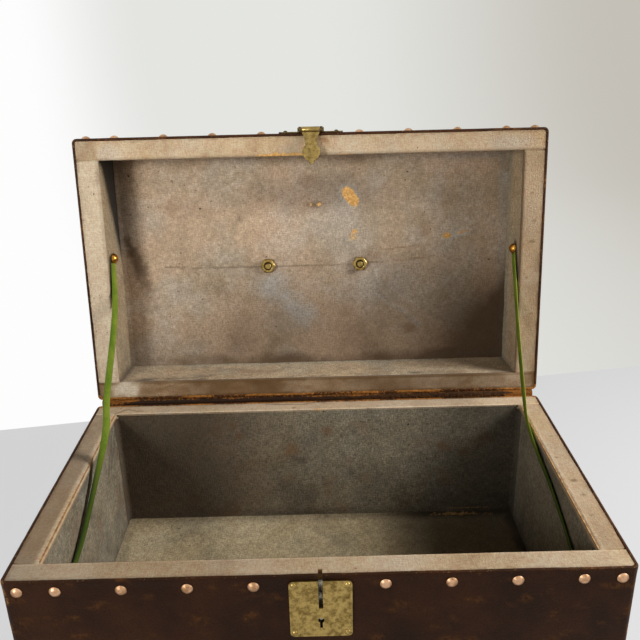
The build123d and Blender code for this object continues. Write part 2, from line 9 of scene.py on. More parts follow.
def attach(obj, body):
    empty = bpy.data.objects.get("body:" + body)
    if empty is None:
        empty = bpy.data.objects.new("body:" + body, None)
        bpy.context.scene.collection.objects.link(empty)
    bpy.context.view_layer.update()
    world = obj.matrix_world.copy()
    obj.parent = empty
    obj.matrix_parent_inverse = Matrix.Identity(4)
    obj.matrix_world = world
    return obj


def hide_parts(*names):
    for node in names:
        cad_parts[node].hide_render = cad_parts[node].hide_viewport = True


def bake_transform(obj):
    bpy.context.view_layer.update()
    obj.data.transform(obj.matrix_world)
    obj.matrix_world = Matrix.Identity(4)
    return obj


# A leather-covered document box, open: linen linings, leather skin, ribbon stays and brass fittings.
# Lengths are in millimetres until a mesh is made. Lid pieces are worked out with the lid shut.

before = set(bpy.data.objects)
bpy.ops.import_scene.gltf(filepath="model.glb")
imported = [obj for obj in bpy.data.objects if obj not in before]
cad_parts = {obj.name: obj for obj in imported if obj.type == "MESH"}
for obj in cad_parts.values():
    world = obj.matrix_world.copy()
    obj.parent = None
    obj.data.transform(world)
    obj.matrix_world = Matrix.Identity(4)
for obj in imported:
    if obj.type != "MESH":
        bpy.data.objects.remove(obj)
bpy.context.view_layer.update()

# Sizes, the same as the CAD part's
HALF_W, HALF_D = 200.0, 116.0
BASE_H, LID_H = 127.0, 62.0
LEATHER = 1.8
LID_RIM = 127.4
LID_TOP = LID_RIM + LID_H
HINGE_Y, HINGE_Z, OPEN = 119.0, 128.2, math.radians(97.3)
WOOD_X, WOOD_Y = HALF_W - LEATHER, HALF_D - LEATHER
CLOTH_X, CLOTH_FRONT, CLOTH_BACK = 180.0, -97.6, 99.8
BASE_CLOTH, LID_CLOTH = 126.6, 127.8
FLOOR, CEILING = 13.4, 176.8
BASE_BEND, LID_BEND = 3.0, 1.5
SKIN_CORNER, TOP_ROUND, STUD_ROW = 4.0, 2.2, 8.0
HANDLE_X, HANDLE_Y = 43.0, 4.0
# The walls' x: from the first to the second, the band turns from the front or back wall onto a side wall
SIDE_WALL = (174, 178)
# The lock: sides, back and bottom of the staple's channel, then sides, top and bottom of the lock's pocket
CHANNEL, CHANNEL_BACK, CHANNEL_FOOT = (-0.9, 1.9), -109.8, 101.8
POCKET, POCKET_TOP, POCKET_FOOT = (-13.6, 14.6), 118.3, 84.1


# Numbers


def opened(p):
    """Points of the shut lid, swung open about the hinge line; the last axis holds x, y and z."""
    y, z = p[..., 1] - HINGE_Y, p[..., 2] - HINGE_Z
    c, s = math.cos(OPEN), math.sin(OPEN)
    return np.stack([p[..., 0], HINGE_Y + y * c + z * s, HINGE_Z - y * s + z * c], -1)


def lumps(x, y, size, seed):
    """Smooth random height from -1 to 1: random values on a lattice of that size, eased between."""
    x, y = np.asarray(x, float) / size, np.asarray(y, float) / size
    x, y = np.broadcast_arrays(x, y)
    lattice = np.random.default_rng(seed).uniform(-1, 1, (257, 257))
    i, j = np.floor(x).astype(int), np.floor(y).astype(int)
    a, b = x - i, y - j
    a, b = a * a * (3 - 2 * a), b * b * (3 - 2 * b)
    i0, i1, j0, j1 = i % 257, (i + 1) % 257, j % 257, (j + 1) % 257
    low = lattice[i0, j0] * (1 - a) + lattice[i1, j0] * a
    high = lattice[i0, j1] * (1 - a) + lattice[i1, j1] * a
    return low * (1 - b) + high * b


def rough(x, y, size, seed, octaves=4):
    """Lumps of halving size and height added up, from about -1 to 1."""
    total = sum(lumps(x, y, size / 2**k, seed + k) / 2**k for k in range(octaves))
    return total / 1.6


def step(value, low, high):
    """0 below low, 1 above high, eased between; low may be the larger."""
    t = np.clip((value - low) / (high - low), 0, 1)
    return t * t * (3 - 2 * t)


def spot(x, y, cx, cy, rx, ry, edge=0.35, turn=0.0, ragged=0.25, seed=1):
    """1 inside a turned ellipse with a ragged outline, 0 outside: the edge is a share of its radius."""
    c, s = math.cos(turn), math.sin(turn)
    u, v = ((x - cx) * c + (y - cy) * s) / rx, (-(x - cx) * s + (y - cy) * c) / ry
    r = np.hypot(u, v) + ragged * rough(x, y, 0.9 * min(rx, ry), seed)
    return 1 - step(r, 1 - edge, 1 + edge)


def line(x, y, points, width, seed=0, wander=0.0):
    """1 on a polyline, falling to 0 at the width from it; it wanders by that much."""
    x = x + wander * rough(y, x, 14, seed + 5)
    y = y + wander * rough(x, y, 14, seed)
    best = np.full(np.shape(x), 1e9)
    for (x0, y0), (x1, y1) in zip(points, points[1:]):
        dx, dy = x1 - x0, y1 - y0
        t = np.clip(((x - x0) * dx + (y - y0) * dy) / (dx * dx + dy * dy), 0, 1)
        best = np.minimum(best, np.hypot(x - x0 - t * dx, y - y0 - t * dy))
    return 1 - step(best, 0.25 * width, width)


def most(*values):
    """The largest of several arrays, point by point."""
    return functools.reduce(np.maximum, values)


def spots(x, y, rows):
    """The strongest of the spots in rows of strength, centre, radii, edge, turn, raggedness and seed."""
    return most(*(strength * spot(x, y, *row) for strength, *row in rows))


def from_corner(x, y):
    """How far a point of the cavity's plan is from its nearest corner."""
    return np.hypot(CLOTH_X - np.abs(x), np.minimum(y - CLOTH_FRONT, CLOTH_BACK - y))


# Meshes


def placed(name, data):
    """A new object in the scene with that data."""
    obj = bpy.data.objects.new(name, data)
    bpy.context.scene.collection.objects.link(obj)
    return obj


def mesh(name, points, faces, material, body, uv=None, marks=None):
    """A mesh object from points in millimetres at rest. uv holds coordinates on the sheet in millimetres,
    and marks three or four shares from 0 to 1 that its material reads, one row for each point."""
    data = bpy.data.meshes.new(name)
    data.from_pydata((np.asarray(points) * 0.001).tolist(), [], faces)
    data.shade_smooth()
    if uv is not None:
        index = np.zeros(len(data.loops), int)
        data.loops.foreach_get("vertex_index", index)
        layer = data.uv_layers.new(name="UVMap")
        layer.data.foreach_set("uv", np.asarray(uv, np.float32)[index].ravel())
    colours = np.zeros((len(points), 4), np.float32)
    colours[:, 3] = 1
    if marks is not None:
        colours[:, :3] = np.clip(marks[:, :3], 0, 1)
        if marks.shape[1] == 4:
            colours[:, 3] = 1 - np.clip(marks[:, 3], 0, 1)
    layer = data.color_attributes.new("marks", "FLOAT_COLOR", "POINT")
    layer.data.foreach_set("color", colours.ravel())
    obj = placed(name, data)
    data.materials.append(material)
    if body:
        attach(obj, body)
    return obj


def grid(name, p, material, body, uv, marks=None, close=False, flip=False, gaps=None):
    """A sheet through an M by N by 3 array of points, with a face between each point and the next in its
    row and column; close joins the last row to the first, flip turns the faces over, and gaps is true at
    the points whose face is left out."""
    m, n = p.shape[:2]
    row, column = np.indices((m if close else m - 1, n - 1))
    here, beyond = row * n + column, (row + 1) % m * n + column
    faces = np.stack([here, beyond, beyond + 1, here + 1], -1)
    faces = faces.reshape(-1, 4) if gaps is None else faces[~gaps[: len(row), :-1]]
    faces = (faces[:, ::-1] if flip else faces).tolist()
    flat = None if marks is None else np.stack(np.broadcast_arrays(*marks), -1).reshape(m * n, -1)
    return mesh(name, p.reshape(-1, 3), faces, material, body, uv.reshape(-1, 2), flat)


def outline(half_x, front, back, radius, pitch=2.0, arc=10):
    """Points, outward normals and lengths round a rounded rectangle, anticlockwise from the back's middle:
    straight runs at about that pitch, and quarter circles of that many steps."""

    def run(start, end, normal):
        count = max(2, int(math.dist(start, end) / pitch))
        return start + (end - start) * np.arange(count)[:, None] / count, np.tile(normal, (count, 1))

    middle = np.array([0.0, back])
    place, parts = middle, []
    x, low, high = half_x - radius, front + radius, back - radius
    for centre, first in (((-x, high), 90), ((-x, low), 180), ((x, low), 270), ((x, high), 0)):
        a = math.radians(first) + math.pi / 2 * np.arange(arc + 1) / arc
        normals = np.stack([np.cos(a), np.sin(a)], 1)
        turn = np.array(centre) + radius * normals
        parts += [run(place, turn[0], normals[0]), (turn[:-1], normals[:-1])]
        place = turn[-1]
    parts.append(run(place, middle, (0.0, 1.0)))
    points, normals = (np.concatenate(rows) for rows in zip(*parts))
    lengths = np.r_[0, np.cumsum(np.linalg.norm(np.diff(points, axis=0), axis=1))]
    return points, normals, lengths


# Colour and nodes


def linear(code):
    """An sRGB hex colour as the linear colour that a shader takes."""
    parts = [int(code[i : i + 2], 16) / 255 for i in (1, 3, 5)]
    return [c / 12.92 if c <= 0.04045 else ((c + 0.055) / 1.055) ** 2.4 for c in parts] + [1.0]


def add(tree, kind, inputs=(), **settings):
    """Adds a shader node, sets its settings, and sets each input, a hex colour as a linear one, or links it
    from a socket or from a node's first live output. Returns the node."""
    made = tree.nodes.new("ShaderNode" + kind)
    for key, value in settings.items():
        setattr(made, key, value)
    for key, value in dict(inputs).items():
        if isinstance(value, bpy.types.Node):
            value = next(socket for socket in value.outputs if socket.enabled)
        elif isinstance(value, str):
            value = linear(value)
        if isinstance(value, bpy.types.NodeSocket):
            tree.links.new(value, made.inputs[key])
        else:
            made.inputs[key].default_value = value
    return made


def blank(name, finish):
    """A material with an empty tree, its output, its Principled shader with the given sockets set, and its
    Object coordinates."""
    material = bpy.data.materials.new(name)
    material.use_nodes = True
    tree = material.node_tree
    tree.nodes.clear()
    shader = add(tree, "BsdfPrincipled", finish)
    add(tree, "OutputMaterial", {0: shader})
    return material, tree, shader, add(tree, "TexCoord").outputs["Object"]


def patches(tree, where, size, low, high, detail=4.0, roughness=0.6):
    """Soft random patches of that size in millimetres: 0 where the noise is under low, 1 over high."""
    inputs = {"Vector": where, "Scale": 1000.0 / size, "Detail": detail, "Roughness": roughness}
    noise = add(tree, "TexNoise", inputs)
    return add(tree, "MapRange", {0: noise, 1: low, 2: high}, interpolation_type="SMOOTHSTEP")


def shaded(tree, colour, value, contrast):
    """The colour, darker where the value is 0 and lighter where it is 1, by that contrast."""
    grey = add(tree, "MapRange", {0: value, 3: 0.5 - contrast, 4: 0.5 + contrast})
    return add(tree, "Mix", {0: 1.0, 6: colour, 7: grey}, data_type="RGBA", blend_type="OVERLAY")


def surface(tree, shader, colour, height, depth):
    """Puts the colour on the shader, and the height as a bump: 0 to 1 over that depth in millimetres."""
    tree.links.new(colour.outputs[2], shader.inputs["Base Color"])
    bump = add(tree, "Bump", {"Distance": depth * 0.001, "Height": height})
    tree.links.new(bump.outputs[0], shader.inputs["Normal"])


COLOUR = {"data_type": "RGBA"}


def linen(name, pale, dark, cool, grime, contrast=1.0, depth=0.93):
    """Plain-weave linen gone brown with age: matt, clouded and grainy, with specks and blots. The marks
    give soil, which hides the cloth by the share depth, torn patches down to wood, grey bleach and
    rust-brown stains. A higher contrast makes the grain and threads stand out more. Real threads are 0.4 mm
    apart, too fine to show, so they are drawn as dashes a millimetre wide, both ways of the UV map."""
    finish = {"Roughness": 0.95, "Specular IOR Level": 0.12, "Sheen Weight": 0.1, "Sheen Roughness": 0.6}
    material, tree, shader, where = blank(name, finish)
    uv = add(tree, "UVMap", uv_map="UVMap")
    marks = add(tree, "VertexColor", layer_name="marks")
    dirt, torn, bleach = add(tree, "SeparateColor", {0: marks}).outputs
    rust = add(tree, "MapRange", {0: marks.outputs["Alpha"], 3: 1.0, 4: 0.0})
    weft = patches(tree, add(tree, "Mapping", {0: uv, 3: (0.0002, 0.001, 0.001)}), 1.0, 0.3, 0.7, 1.0)
    warp = patches(tree, add(tree, "Mapping", {0: uv, 3: (0.001, 0.0002, 0.001)}), 1.0, 0.3, 0.7, 1.0)
    threads = add(tree, "Math", {0: weft, 1: warp}, operation="ADD")
    threads = add(tree, "Math", {0: threads, 1: 0.5}, operation="MULTIPLY")
    grain = patches(tree, where, 1.2, 0.3, 0.7, 2.0, 0.8)
    clouds = patches(tree, where, 62.0, 0.34, 0.66, 5.0, 0.6)
    colour = add(tree, "Mix", {0: clouds, 6: pale, 7: dark}, **COLOUR)
    drift = patches(tree, where, 48.0, 0.42, 0.66, 6.0, 0.64)
    drift = add(tree, "Math", {0: drift, 1: 0.4}, operation="MULTIPLY")
    drift = add(tree, "Math", {0: drift, 1: bleach}, operation="MAXIMUM")
    colour = add(tree, "Mix", {0: drift, 6: colour, 7: cool}, **COLOUR)
    blotches = patches(tree, where, 6.0, 0.3, 0.7, 5.0, 0.7)
    colour = shaded(tree, colour, blotches, 0.07 * contrast)
    colour = shaded(tree, colour, threads, 0.13 * contrast)
    colour = shaded(tree, colour, grain, 0.1 * contrast)
    mottled = add(tree, "MapRange", {0: blotches, 3: 0.4, 4: 1.0})
    stain = add(tree, "Math", {0: rust, 1: mottled}, operation="MULTIPLY")
    colour = add(tree, "Mix", {0: stain, 6: colour, 7: "#7B5127"}, **COLOUR)
    specks = patches(tree, where, 3.6, 0.7, 0.78, 2.0, 0.5)
    blots = patches(tree, where, 22.0, 0.62, 0.8, 4.0, 0.65)
    blots = add(tree, "Math", {0: blots, 1: 0.4}, operation="MULTIPLY")
    soil = add(tree, "Math", {0: specks, 1: blots}, operation="MAXIMUM")
    soil = add(tree, "Math", {0: soil, 1: dirt}, operation="MAXIMUM")
    soil = add(tree, "Math", {0: soil, 1: depth}, operation="MULTIPLY")
    colour = add(tree, "Mix", {0: soil, 6: colour, 7: grime}, **COLOUR)
    fray = add(tree, "Math", {0: grain, 1: 0.34, 2: torn}, operation="MULTIPLY_ADD")
    bare = add(tree, "MapRange", {0: fray, 1: 0.45, 2: 0.95}, interpolation_type="SMOOTHSTEP")
    fibres = patches(tree, where, 2.0, 0.35, 0.65, 3.0, 0.7)
    wood = add(tree, "Mix", {0: fibres, 6: "#CC9144", 7: "#EBBE7A"}, **COLOUR)
    colour = add(tree, "Mix", {0: bare, 6: colour, 7: wood}, **COLOUR)
    height = add(tree, "Math", {0: grain, 1: 0.8, 2: threads}, operation="MULTIPLY_ADD")
    height = add(tree, "Math", {0: height, 1: bare}, operation="SUBTRACT")
    surface(tree, shader, colour, height, 0.12)
    return material


def leather(name, deep, mid, worn, rot):
    """Old calf leather: pebbled grain and fine creases that catch the light, rubbed paler in blotches. The
    marks give scuffs, wear down to tan fibres, and orange rot where it crumbles at the hinge."""
    material, tree, shader, where = blank(name, {"Specular IOR Level": 0.1})
    marks = add(tree, "VertexColor", layer_name="marks")
    scuff, wear, decay = add(tree, "SeparateColor", {0: marks}).outputs
    cells = add(tree, "TexVoronoi", {"Vector": where, "Scale": 1000.0 / 1.5}, feature="DISTANCE_TO_EDGE")
    pebble = add(tree, "MapRange", {0: cells, 2: 0.28}, interpolation_type="SMOOTHSTEP")
    cells = add(tree, "TexVoronoi", {"Vector": where, "Scale": 1000.0 / 9.0}, feature="DISTANCE_TO_EDGE")
    creases = add(tree, "MapRange", {0: cells, 2: 0.05}, interpolation_type="SMOOTHSTEP")
    clouds = patches(tree, where, 55.0, 0.35, 0.68, 6.0, 0.65)
    colour = add(tree, "Mix", {0: clouds, 6: deep, 7: mid}, **COLOUR)
    flecks = patches(tree, where, 3.0, 0.35, 0.6, 4.0, 0.7)
    scuff = add(tree, "Math", {0: flecks, 1: scuff}, operation="MULTIPLY")
    rubbed = patches(tree, where, 20.0, 0.6, 0.78, 6.0, 0.75)
    rubbed = add(tree, "Math", {0: rubbed, 1: 0.7}, operation="MULTIPLY")
    rubbed = add(tree, "Math", {0: rubbed, 1: scuff}, operation="MAXIMUM")
    colour = add(tree, "Mix", {0: rubbed, 6: colour, 7: worn}, **COLOUR)
    hollow = add(tree, "MapRange", {0: pebble, 3: 0.45, 4: 0.0})
    colour = add(tree, "Mix", {0: hollow, 6: colour, 7: deep}, **COLOUR)
    fibres = patches(tree, where, 2.0, 0.25, 0.75, 5.0, 0.75)
    bare = []
    for mark, low, dark, light in ((wear, 0.75, "#6E4423", "#B58550"), (decay, 0.85, "#5F3714", rot)):
        frayed = add(tree, "Math", {0: fibres, 1: 0.5, 2: mark}, operation="MULTIPLY_ADD")
        share = add(tree, "MapRange", {0: frayed, 1: low, 2: low + 0.3}, interpolation_type="SMOOTHSTEP")
        tone = add(tree, "Mix", {0: fibres, 6: dark, 7: light}, **COLOUR)
        colour = add(tree, "Mix", {0: share, 6: colour, 7: tone}, **COLOUR)
        bare.append(share)
    bare = add(tree, "Math", {0: bare[0], 1: bare[1]}, operation="MAXIMUM")
    dry = add(tree, "Math", {0: bare, 1: rubbed}, operation="ADD")
    finish = add(tree, "MapRange", {0: dry, 2: 1.2, 3: 0.52, 4: 0.9})
    tree.links.new(finish.outputs[0], shader.inputs["Roughness"])
    height = add(tree, "Math", {0: creases, 1: 0.6, 2: pebble}, operation="MULTIPLY_ADD")
    crumbs = add(tree, "Math", {0: bare, 1: fibres}, operation="MULTIPLY")
    height = add(tree, "Math", {0: crumbs, 1: 2.0, 2: height}, operation="MULTIPLY_ADD")
    surface(tree, shader, colour, height, 0.12)
    return material


def metal(name, bright, tarnish, deep, low, high, patch=6.0):
    """Old metal: bright where it is rubbed, clouded with tarnish, with dark grime in its corners and in
    spots, and fine scratches. Its roughness follows the tarnish, from low to high."""
    material, tree, shader, where = blank(name, {"Metallic": 1.0})
    dull = patches(tree, where, patch, 0.38, 0.64, 6.0, 0.7)
    colour = add(tree, "Mix", {0: dull, 6: bright, 7: tarnish}, **COLOUR)
    flecks = patches(tree, where, 0.35 * patch, 0.58, 0.74, 4.0, 0.65)
    open_air = add(tree, "AmbientOcclusion", {"Distance": 0.0025}, samples=8)
    corner = add(tree, "MapRange", {0: open_air.outputs["AO"], 1: 0.3, 2: 0.85, 3: 1.0, 4: 0.0})
    grime = add(tree, "Math", {0: flecks, 1: corner}, operation="MAXIMUM")
    grime = add(tree, "Math", {0: grime, 1: 0.8}, operation="MULTIPLY")
    colour = add(tree, "Mix", {0: grime, 6: colour, 7: deep}, **COLOUR)
    worn = add(tree, "Math", {0: dull, 1: grime}, operation="ADD")
    finish = add(tree, "MapRange", {0: worn, 2: 1.5, 3: low, 4: high})
    tree.links.new(finish.outputs[0], shader.inputs["Roughness"])
    lines = add(tree, "Mapping", {0: where, 3: (1.0, 9.0, 3.0)})
    scratches = patches(tree, lines, 1.2, 0.2, 0.8, 3.0, 0.7)
    height = add(tree, "Math", {0: dull, 1: 0.4, 2: scratches}, operation="MULTIPLY_ADD")
    surface(tree, shader, colour, height, 0.02)
    return material


def timber(name):
    """Bare softwood: long pale and darker growth rings running along X."""
    material, tree, shader, where = blank(name, {"Roughness": 0.75})
    along = add(tree, "Mapping", {0: where, 3: (0.06, 1.0, 1.0)})
    rings = patches(tree, along, 5.0, 0.35, 0.65, 4.0, 0.6)
    colour = add(tree, "Mix", {0: rings, 6: "#C59C68", 7: "#94683B"}, **COLOUR)
    colour = shaded(tree, colour, patches(tree, along, 0.8, 0.2, 0.8, 3.0, 0.6), 0.1)
    surface(tree, shader, colour, rings, 0.1)
    return material


def ribbon_weave(name):
    """Grosgrain ribbon: fine ribs across it, a low sheen and a slow change of green along it. The marks
    give painted shade and a paler edge, a painted highlight. The ribs, 0.6 mm apart, are drawn at 1 mm so
    that they show."""
    material, tree, shader, where = blank(name, {"Roughness": 0.7, "Specular IOR Level": 0.15})
    uv = add(tree, "UVMap", uv_map="UVMap")
    marks = add(tree, "VertexColor", layer_name="marks")
    shade, pale = add(tree, "SeparateColor", {0: marks}).outputs[:2]
    one_a_millimetre = 2 * math.pi / 20
    ribs = {"Vector": uv, "Scale": one_a_millimetre}
    ribs = add(tree, "TexWave", ribs, bands_direction="Y").outputs["Fac"]
    greens = patches(tree, where, 22.0, 0.35, 0.65)
    colour = add(tree, "Mix", {0: greens, 6: "#82942C", 7: "#5F7A19"}, **COLOUR)
    colour = shaded(tree, colour, ribs, 0.1)
    colour = shaded(tree, colour, patches(tree, where, 0.9, 0.25, 0.75), 0.08)
    # The marks' painted highlight, pale yellow-green, then their painted shade, dark green.
    colour = add(tree, "Mix", {0: pale, 6: colour, 7: "#BCC258"}, **COLOUR)
    colour = add(tree, "Mix", {0: shade, 6: colour, 7: "#20300C"}, **COLOUR)
    surface(tree, shader, colour, ribs, 0.08)
    return material


# Materials, each named for what it is. The linens are one dry, uneven brown cloth, less or more soiled.
RIM_LINEN = linen("rim_linen", "#E0C5A2", "#CDAE85", "#D2C3AC", "#5C3F1D", 0.75)
CEILING_LINEN = linen("ceiling_linen", "#C0A589", "#AB967B", "#B9B3A8", "#4A3520", 0.9)
# The lid's wall cloth soils down to a near-black grime that hides the cloth almost wholly: partly soil,
# partly painted shade for its shaded walls.
LID_LINEN = linen("lid_wall_linen", "#C8B08C", "#B29874", "#A39B84", "#1C1208", 1.3, 0.985)
BASE_LINEN = linen("base_wall_linen", "#8F836C", "#786D58", "#7D786C", "#2C2216", 1.6)
FLOOR_LINEN = linen("base_floor_linen", "#CDB993", "#B5A079", "#A39A80", "#30261A", 1.2)
# Brown calf over the outside, with a low gloss that breaks up where it is rubbed, and the same hide gone
# dry and crumbly orange where it bends
SKIN = leather("covering_leather", "#301B0D", "#4C2B14", "#7A4F2B", "#BC7E3C")
# The hinge leather is nearly black: its dark brown deepened as painted shade for the shadowed gap at the
# hinge.
HINGE = leather("hinge_leather", "#150B05", "#2A180C", "#5E3C1C", "#98622C")
# Cast brass with a brown tarnish, so that only its high places shine: olive on the hasp, nearly black on
# the hasp's plate, copper-toned on the studs and golden on the tacks. Then the lock's cold grey steel.
BRASS = metal("aged_brass", "#B89C5C", "#7D6636", "#33260F", 0.2, 0.5, 4.0)
HASP_BRASS = metal("patinated_brass", "#B0965A", "#7C6538", "#4A3A1C", 0.26, 0.5, 5.0)
DARK_BRASS = metal("blackened_brass", "#6E5C38", "#40341F", "#171009", 0.35, 0.65, 5.0)
STUD_BRASS = metal("stud_brass", "#DDB08A", "#AA7F58", "#4A2E1C", 0.3, 0.5)
TACK_BRASS = metal("tack_brass", "#C98F3C", "#8A5A22", "#3A2410", 0.2, 0.42)
STEEL = metal("plain_steel", "#CFC8B8", "#8F887A", "#3C342C", 0.2, 0.5)
WOOD = timber("softwood")
GREEN = ribbon_weave("green_grosgrain")

# The CAD's pieces, by a part of their name: the first row that fits gives the material
FINISHES = (("_board", WOOD), ("_leather", SKIN), ("lock_case", STEEL), ("lock_bolt", STEEL))
FINISHES += (("hasp_leaf", HASP_BRASS), ("hasp_staple", HASP_BRASS), ("handle_posts", HASP_BRASS))
FINISHES += (("hasp", DARK_BRASS), ("_tacks", TACK_BRASS), ("studs", STUD_BRASS))
FINISHES += (("cloth", RIM_LINEN), ("_lining", RIM_LINEN), ("", BRASS))
for name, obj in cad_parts.items():
    obj.data.materials.clear()
    obj.data.materials.append(next(finish for part, finish in FINISHES if part in name))


# The halves, each with its own way from x, y and a depth h into the box to a place


def in_base(x, y, h):
    return np.stack(np.broadcast_arrays(x, y, BASE_CLOTH - h), -1)


def in_lid(x, y, h):
    return opened(np.stack(np.broadcast_arrays(x, y, LID_CLOTH + h), -1))


# bend is the radius of the cavity's corners and deep its depth. The rim's roll has the radius round and
# reaches down to tail, or to long_tail at the front and back; on the roll a painted highlight takes off
# a share of the dirt, and soil adds painted shade: the base's rolls stay pale and the lid's are darkened.
BASE = dict(body="base", at=in_base, bend=BASE_BEND, deep=BASE_CLOTH - FLOOR, seed=11, flip=False)
BASE.update(round=3.4, tail=4.2, long_tail=1.7, clean=0.85, soil=0.0)
LID = dict(body="lid", at=in_lid, bend=LID_BEND, deep=CEILING - LID_CLOTH, seed=47, flip=True)
LID.update(round=1.3, tail=3.0, long_tail=3.0, clean=0.0, soil=0.25)
BASE_LONG = dict(BASE, round=1.1, tail=1.7)


def rim_edge(half, side, along):
    """Where a side strip's inner edge runs: straight, then round the corner's bend at each end. Gives x, y
    and the normal into the box; along is the distance from the front."""
    bend = half["bend"]
    length = CLOTH_BACK - CLOTH_FRONT
    d = np.minimum(along, length - along)
    inside = np.sqrt(np.clip(bend**2 - (bend - np.minimum(d, bend)) ** 2, 0, None))
    x = CLOTH_X - bend + inside
    nx = -inside / bend
    ny = np.where(d < bend, np.where(along < length / 2, 1, -1) * (bend - d) / bend, 0.0)
    nx = np.where(d < bend, nx, -1.0)
    return side * x, CLOTH_FRONT + along, side * nx, ny


def roll(half):
    """The rolled inner edge of a rim strip, as offsets out of the wall and depths: a quarter turn, then an
    end turned in."""
    radius, tail = half["round"], half["tail"]
    turn = np.linspace(0, math.pi / 2, 8)
    offset = -radius * (1 - np.sin(turn))
    depth = radius * (1 - np.cos(turn))
    return np.r_[offset, 0.1, -0.3], np.r_[depth, tail - 0.15, tail]


def rim_marks(x, y, h, inner, outer, half, from_end, soil):
    """Dirt, wear, bleach and rust of a rim strip, from its depth h, the distances to its inner and outer
    edges and to its ends, and its overall soil; with a painted highlight on the base's rolls, painted shade
    on the lid's, and painted shade down each roll's lower side."""
    seed, radius = half["seed"], half["round"]
    fray = rough(x, y, 9, seed + 3)
    dirt = soil * (0.8 + 0.35 * rough(x, y, 45, seed + 30)) + 0.3 * step(rough(x, y, 40, seed), 0.3, 0.9)
    dirt = dirt + 0.3 * (1 - step(outer + 1.5 * fray, 0.3, 2.4)) + 0.45 * (1 - step(from_end, 0.0, 1.1))
    rolled = 1 - step(np.abs(inner - 0.5 * radius) + 0.6 * fray, 0.6 * radius, 1.1 * radius)
    # On the roll: a painted highlight takes dirt off, and painted shade is added.
    dirt = dirt * (1 - half["clean"] * rolled) + half["soil"] * rolled
    # Painted shade down the roll's lower side and its tail.
    dirt = dirt + 0.35 * step(h, 0.8 * radius, half["tail"])
    bleach = 0.5 * step(rough(x, y, 34, seed + 17), 0.35, 0.8)
    rust = (0.1 + 0.45 * soil) * step(rough(x, y, 15, seed + 40), 0.0, 0.7)
    wear = 0.6 * (1 - step(inner + 2.0 * fray, 0.1, 1.0)) * step(rough(x, y, 14, seed + 9), 0.45, 0.7)
    if radius > 2:
        wear, rust = 0.0 * wear, most(rust, 0.6 * step(h, 0.3 * radius, radius))
    return dirt, wear, bleach, rust


def rim_strip_side(half, side, name, soil, extra=None):
    """A side strip of rim cloth: flat from the outer edge to the rolled inner edge, with a soft waver of a
    tenth of a millimetre."""
    length = CLOTH_BACK - CLOTH_FRONT
    along = np.linspace(0.15, length - 0.15, 150)
    x, y, nx, ny = (row[:, None] for row in rim_edge(half, side, along))
    offset, depth = roll(half)
    flat = np.linspace(0, 1, 11)[:-1]
    wall_x = side * WOOD_X
    px = np.concatenate([wall_x + (x + offset[0] * nx - wall_x) * flat, x + nx * offset], 1)
    py = np.concatenate([y + offset[0] * ny * flat, y + ny * offset], 1)
    h = np.broadcast_to(np.r_[np.zeros(len(flat)), depth], px.shape)
    waver = 0.16 * rough(px, py, 16, half["seed"]) - 0.12
    from_end = np.minimum(along, length - along)[:, None]
    ends = 0.5 * (1 - step(from_end, 0.0, 1.2))
    h = h - 0.6 * waver * (1 - step(h, 0.0, 1.6)) + np.where(h < 2.5, ends, 0)
    marks = rim_marks(px, py, h, np.abs(px - x), WOOD_X - np.abs(px), half, from_end, soil)
    if extra:
        marks = extra(px, py, *marks)
    points = half["at"](px, py, h)
    uv = np.stack([np.abs(px) + h, py], -1)
    flip = (side > 0) != half["flip"]
    return grid(name, points, RIM_LINEN, half["body"], uv, marks, flip=flip)


def rim_strip_long(half, back, name, soil, extra=None):
    """The front or back strip of rim cloth: the full width of the box, its roll ending where the corners
    bend. The base's front strip is open over the staple's channel."""
    sign = 1 if back else -1
    edge = CLOTH_BACK if back else CLOTH_FRONT
    reach = CLOTH_X - half["bend"]
    x = np.unique(np.r_[np.linspace(-WOOD_X, WOOD_X, 230), -reach, reach, CHANNEL])
    offset, depth = roll(half)
    flat = np.linspace(0, 1, 11)[:-1]
    start = edge - sign * offset[0]
    line_y = np.r_[sign * WOOD_Y + (start - sign * WOOD_Y) * flat, edge - sign * offset]
    px, py = np.broadcast_arrays(x[:, None], line_y)
    h = np.broadcast_to(np.r_[np.zeros(len(flat)), depth], px.shape)
    corner_x, corner_y = np.abs(px) - (WOOD_X - 2.2), np.abs(py) - (WOOD_Y - 2.2)
    corner = step(np.hypot(corner_x, corner_y), 1.9, 2.6)
    outside = (corner_x > 0) & (corner_y > 0) & (corner > 0)
    py = np.where(outside, np.sign(py) * (WOOD_Y - 0.9 * corner * 2.2), py)
    beyond = np.abs(px) > reach + 0.1
    py = np.where(beyond & (np.abs(py) < abs(edge)), edge, py)
    h = np.where(beyond, np.minimum(h, 0.5), h)
    waver = 0.16 * rough(px, py, 16, half["seed"] + 2) - 0.12
    h = h - 0.6 * waver * (1 - step(h, 0.0, 1.6))
    outer = np.minimum(WOOD_Y - np.abs(py), WOOD_X - np.abs(px))
    marks = rim_marks(px, py, h, np.abs(py - edge), outer, half, np.full(px.shape, 9.0), soil)
    if extra:
        marks = extra(px, py, *marks)
    points = half["at"](px, py, h)
    uv = np.stack([px, np.abs(py) - h], -1)
    notch = (px >= CHANNEL[0]) & (px < CHANNEL[1]) & (py < CHANNEL_BACK - 1) & (half["body"] == "base")
    flip = back != half["flip"]
    return grid(name, points, RIM_LINEN, half["body"], uv, marks, flip=flip, gaps=notch)


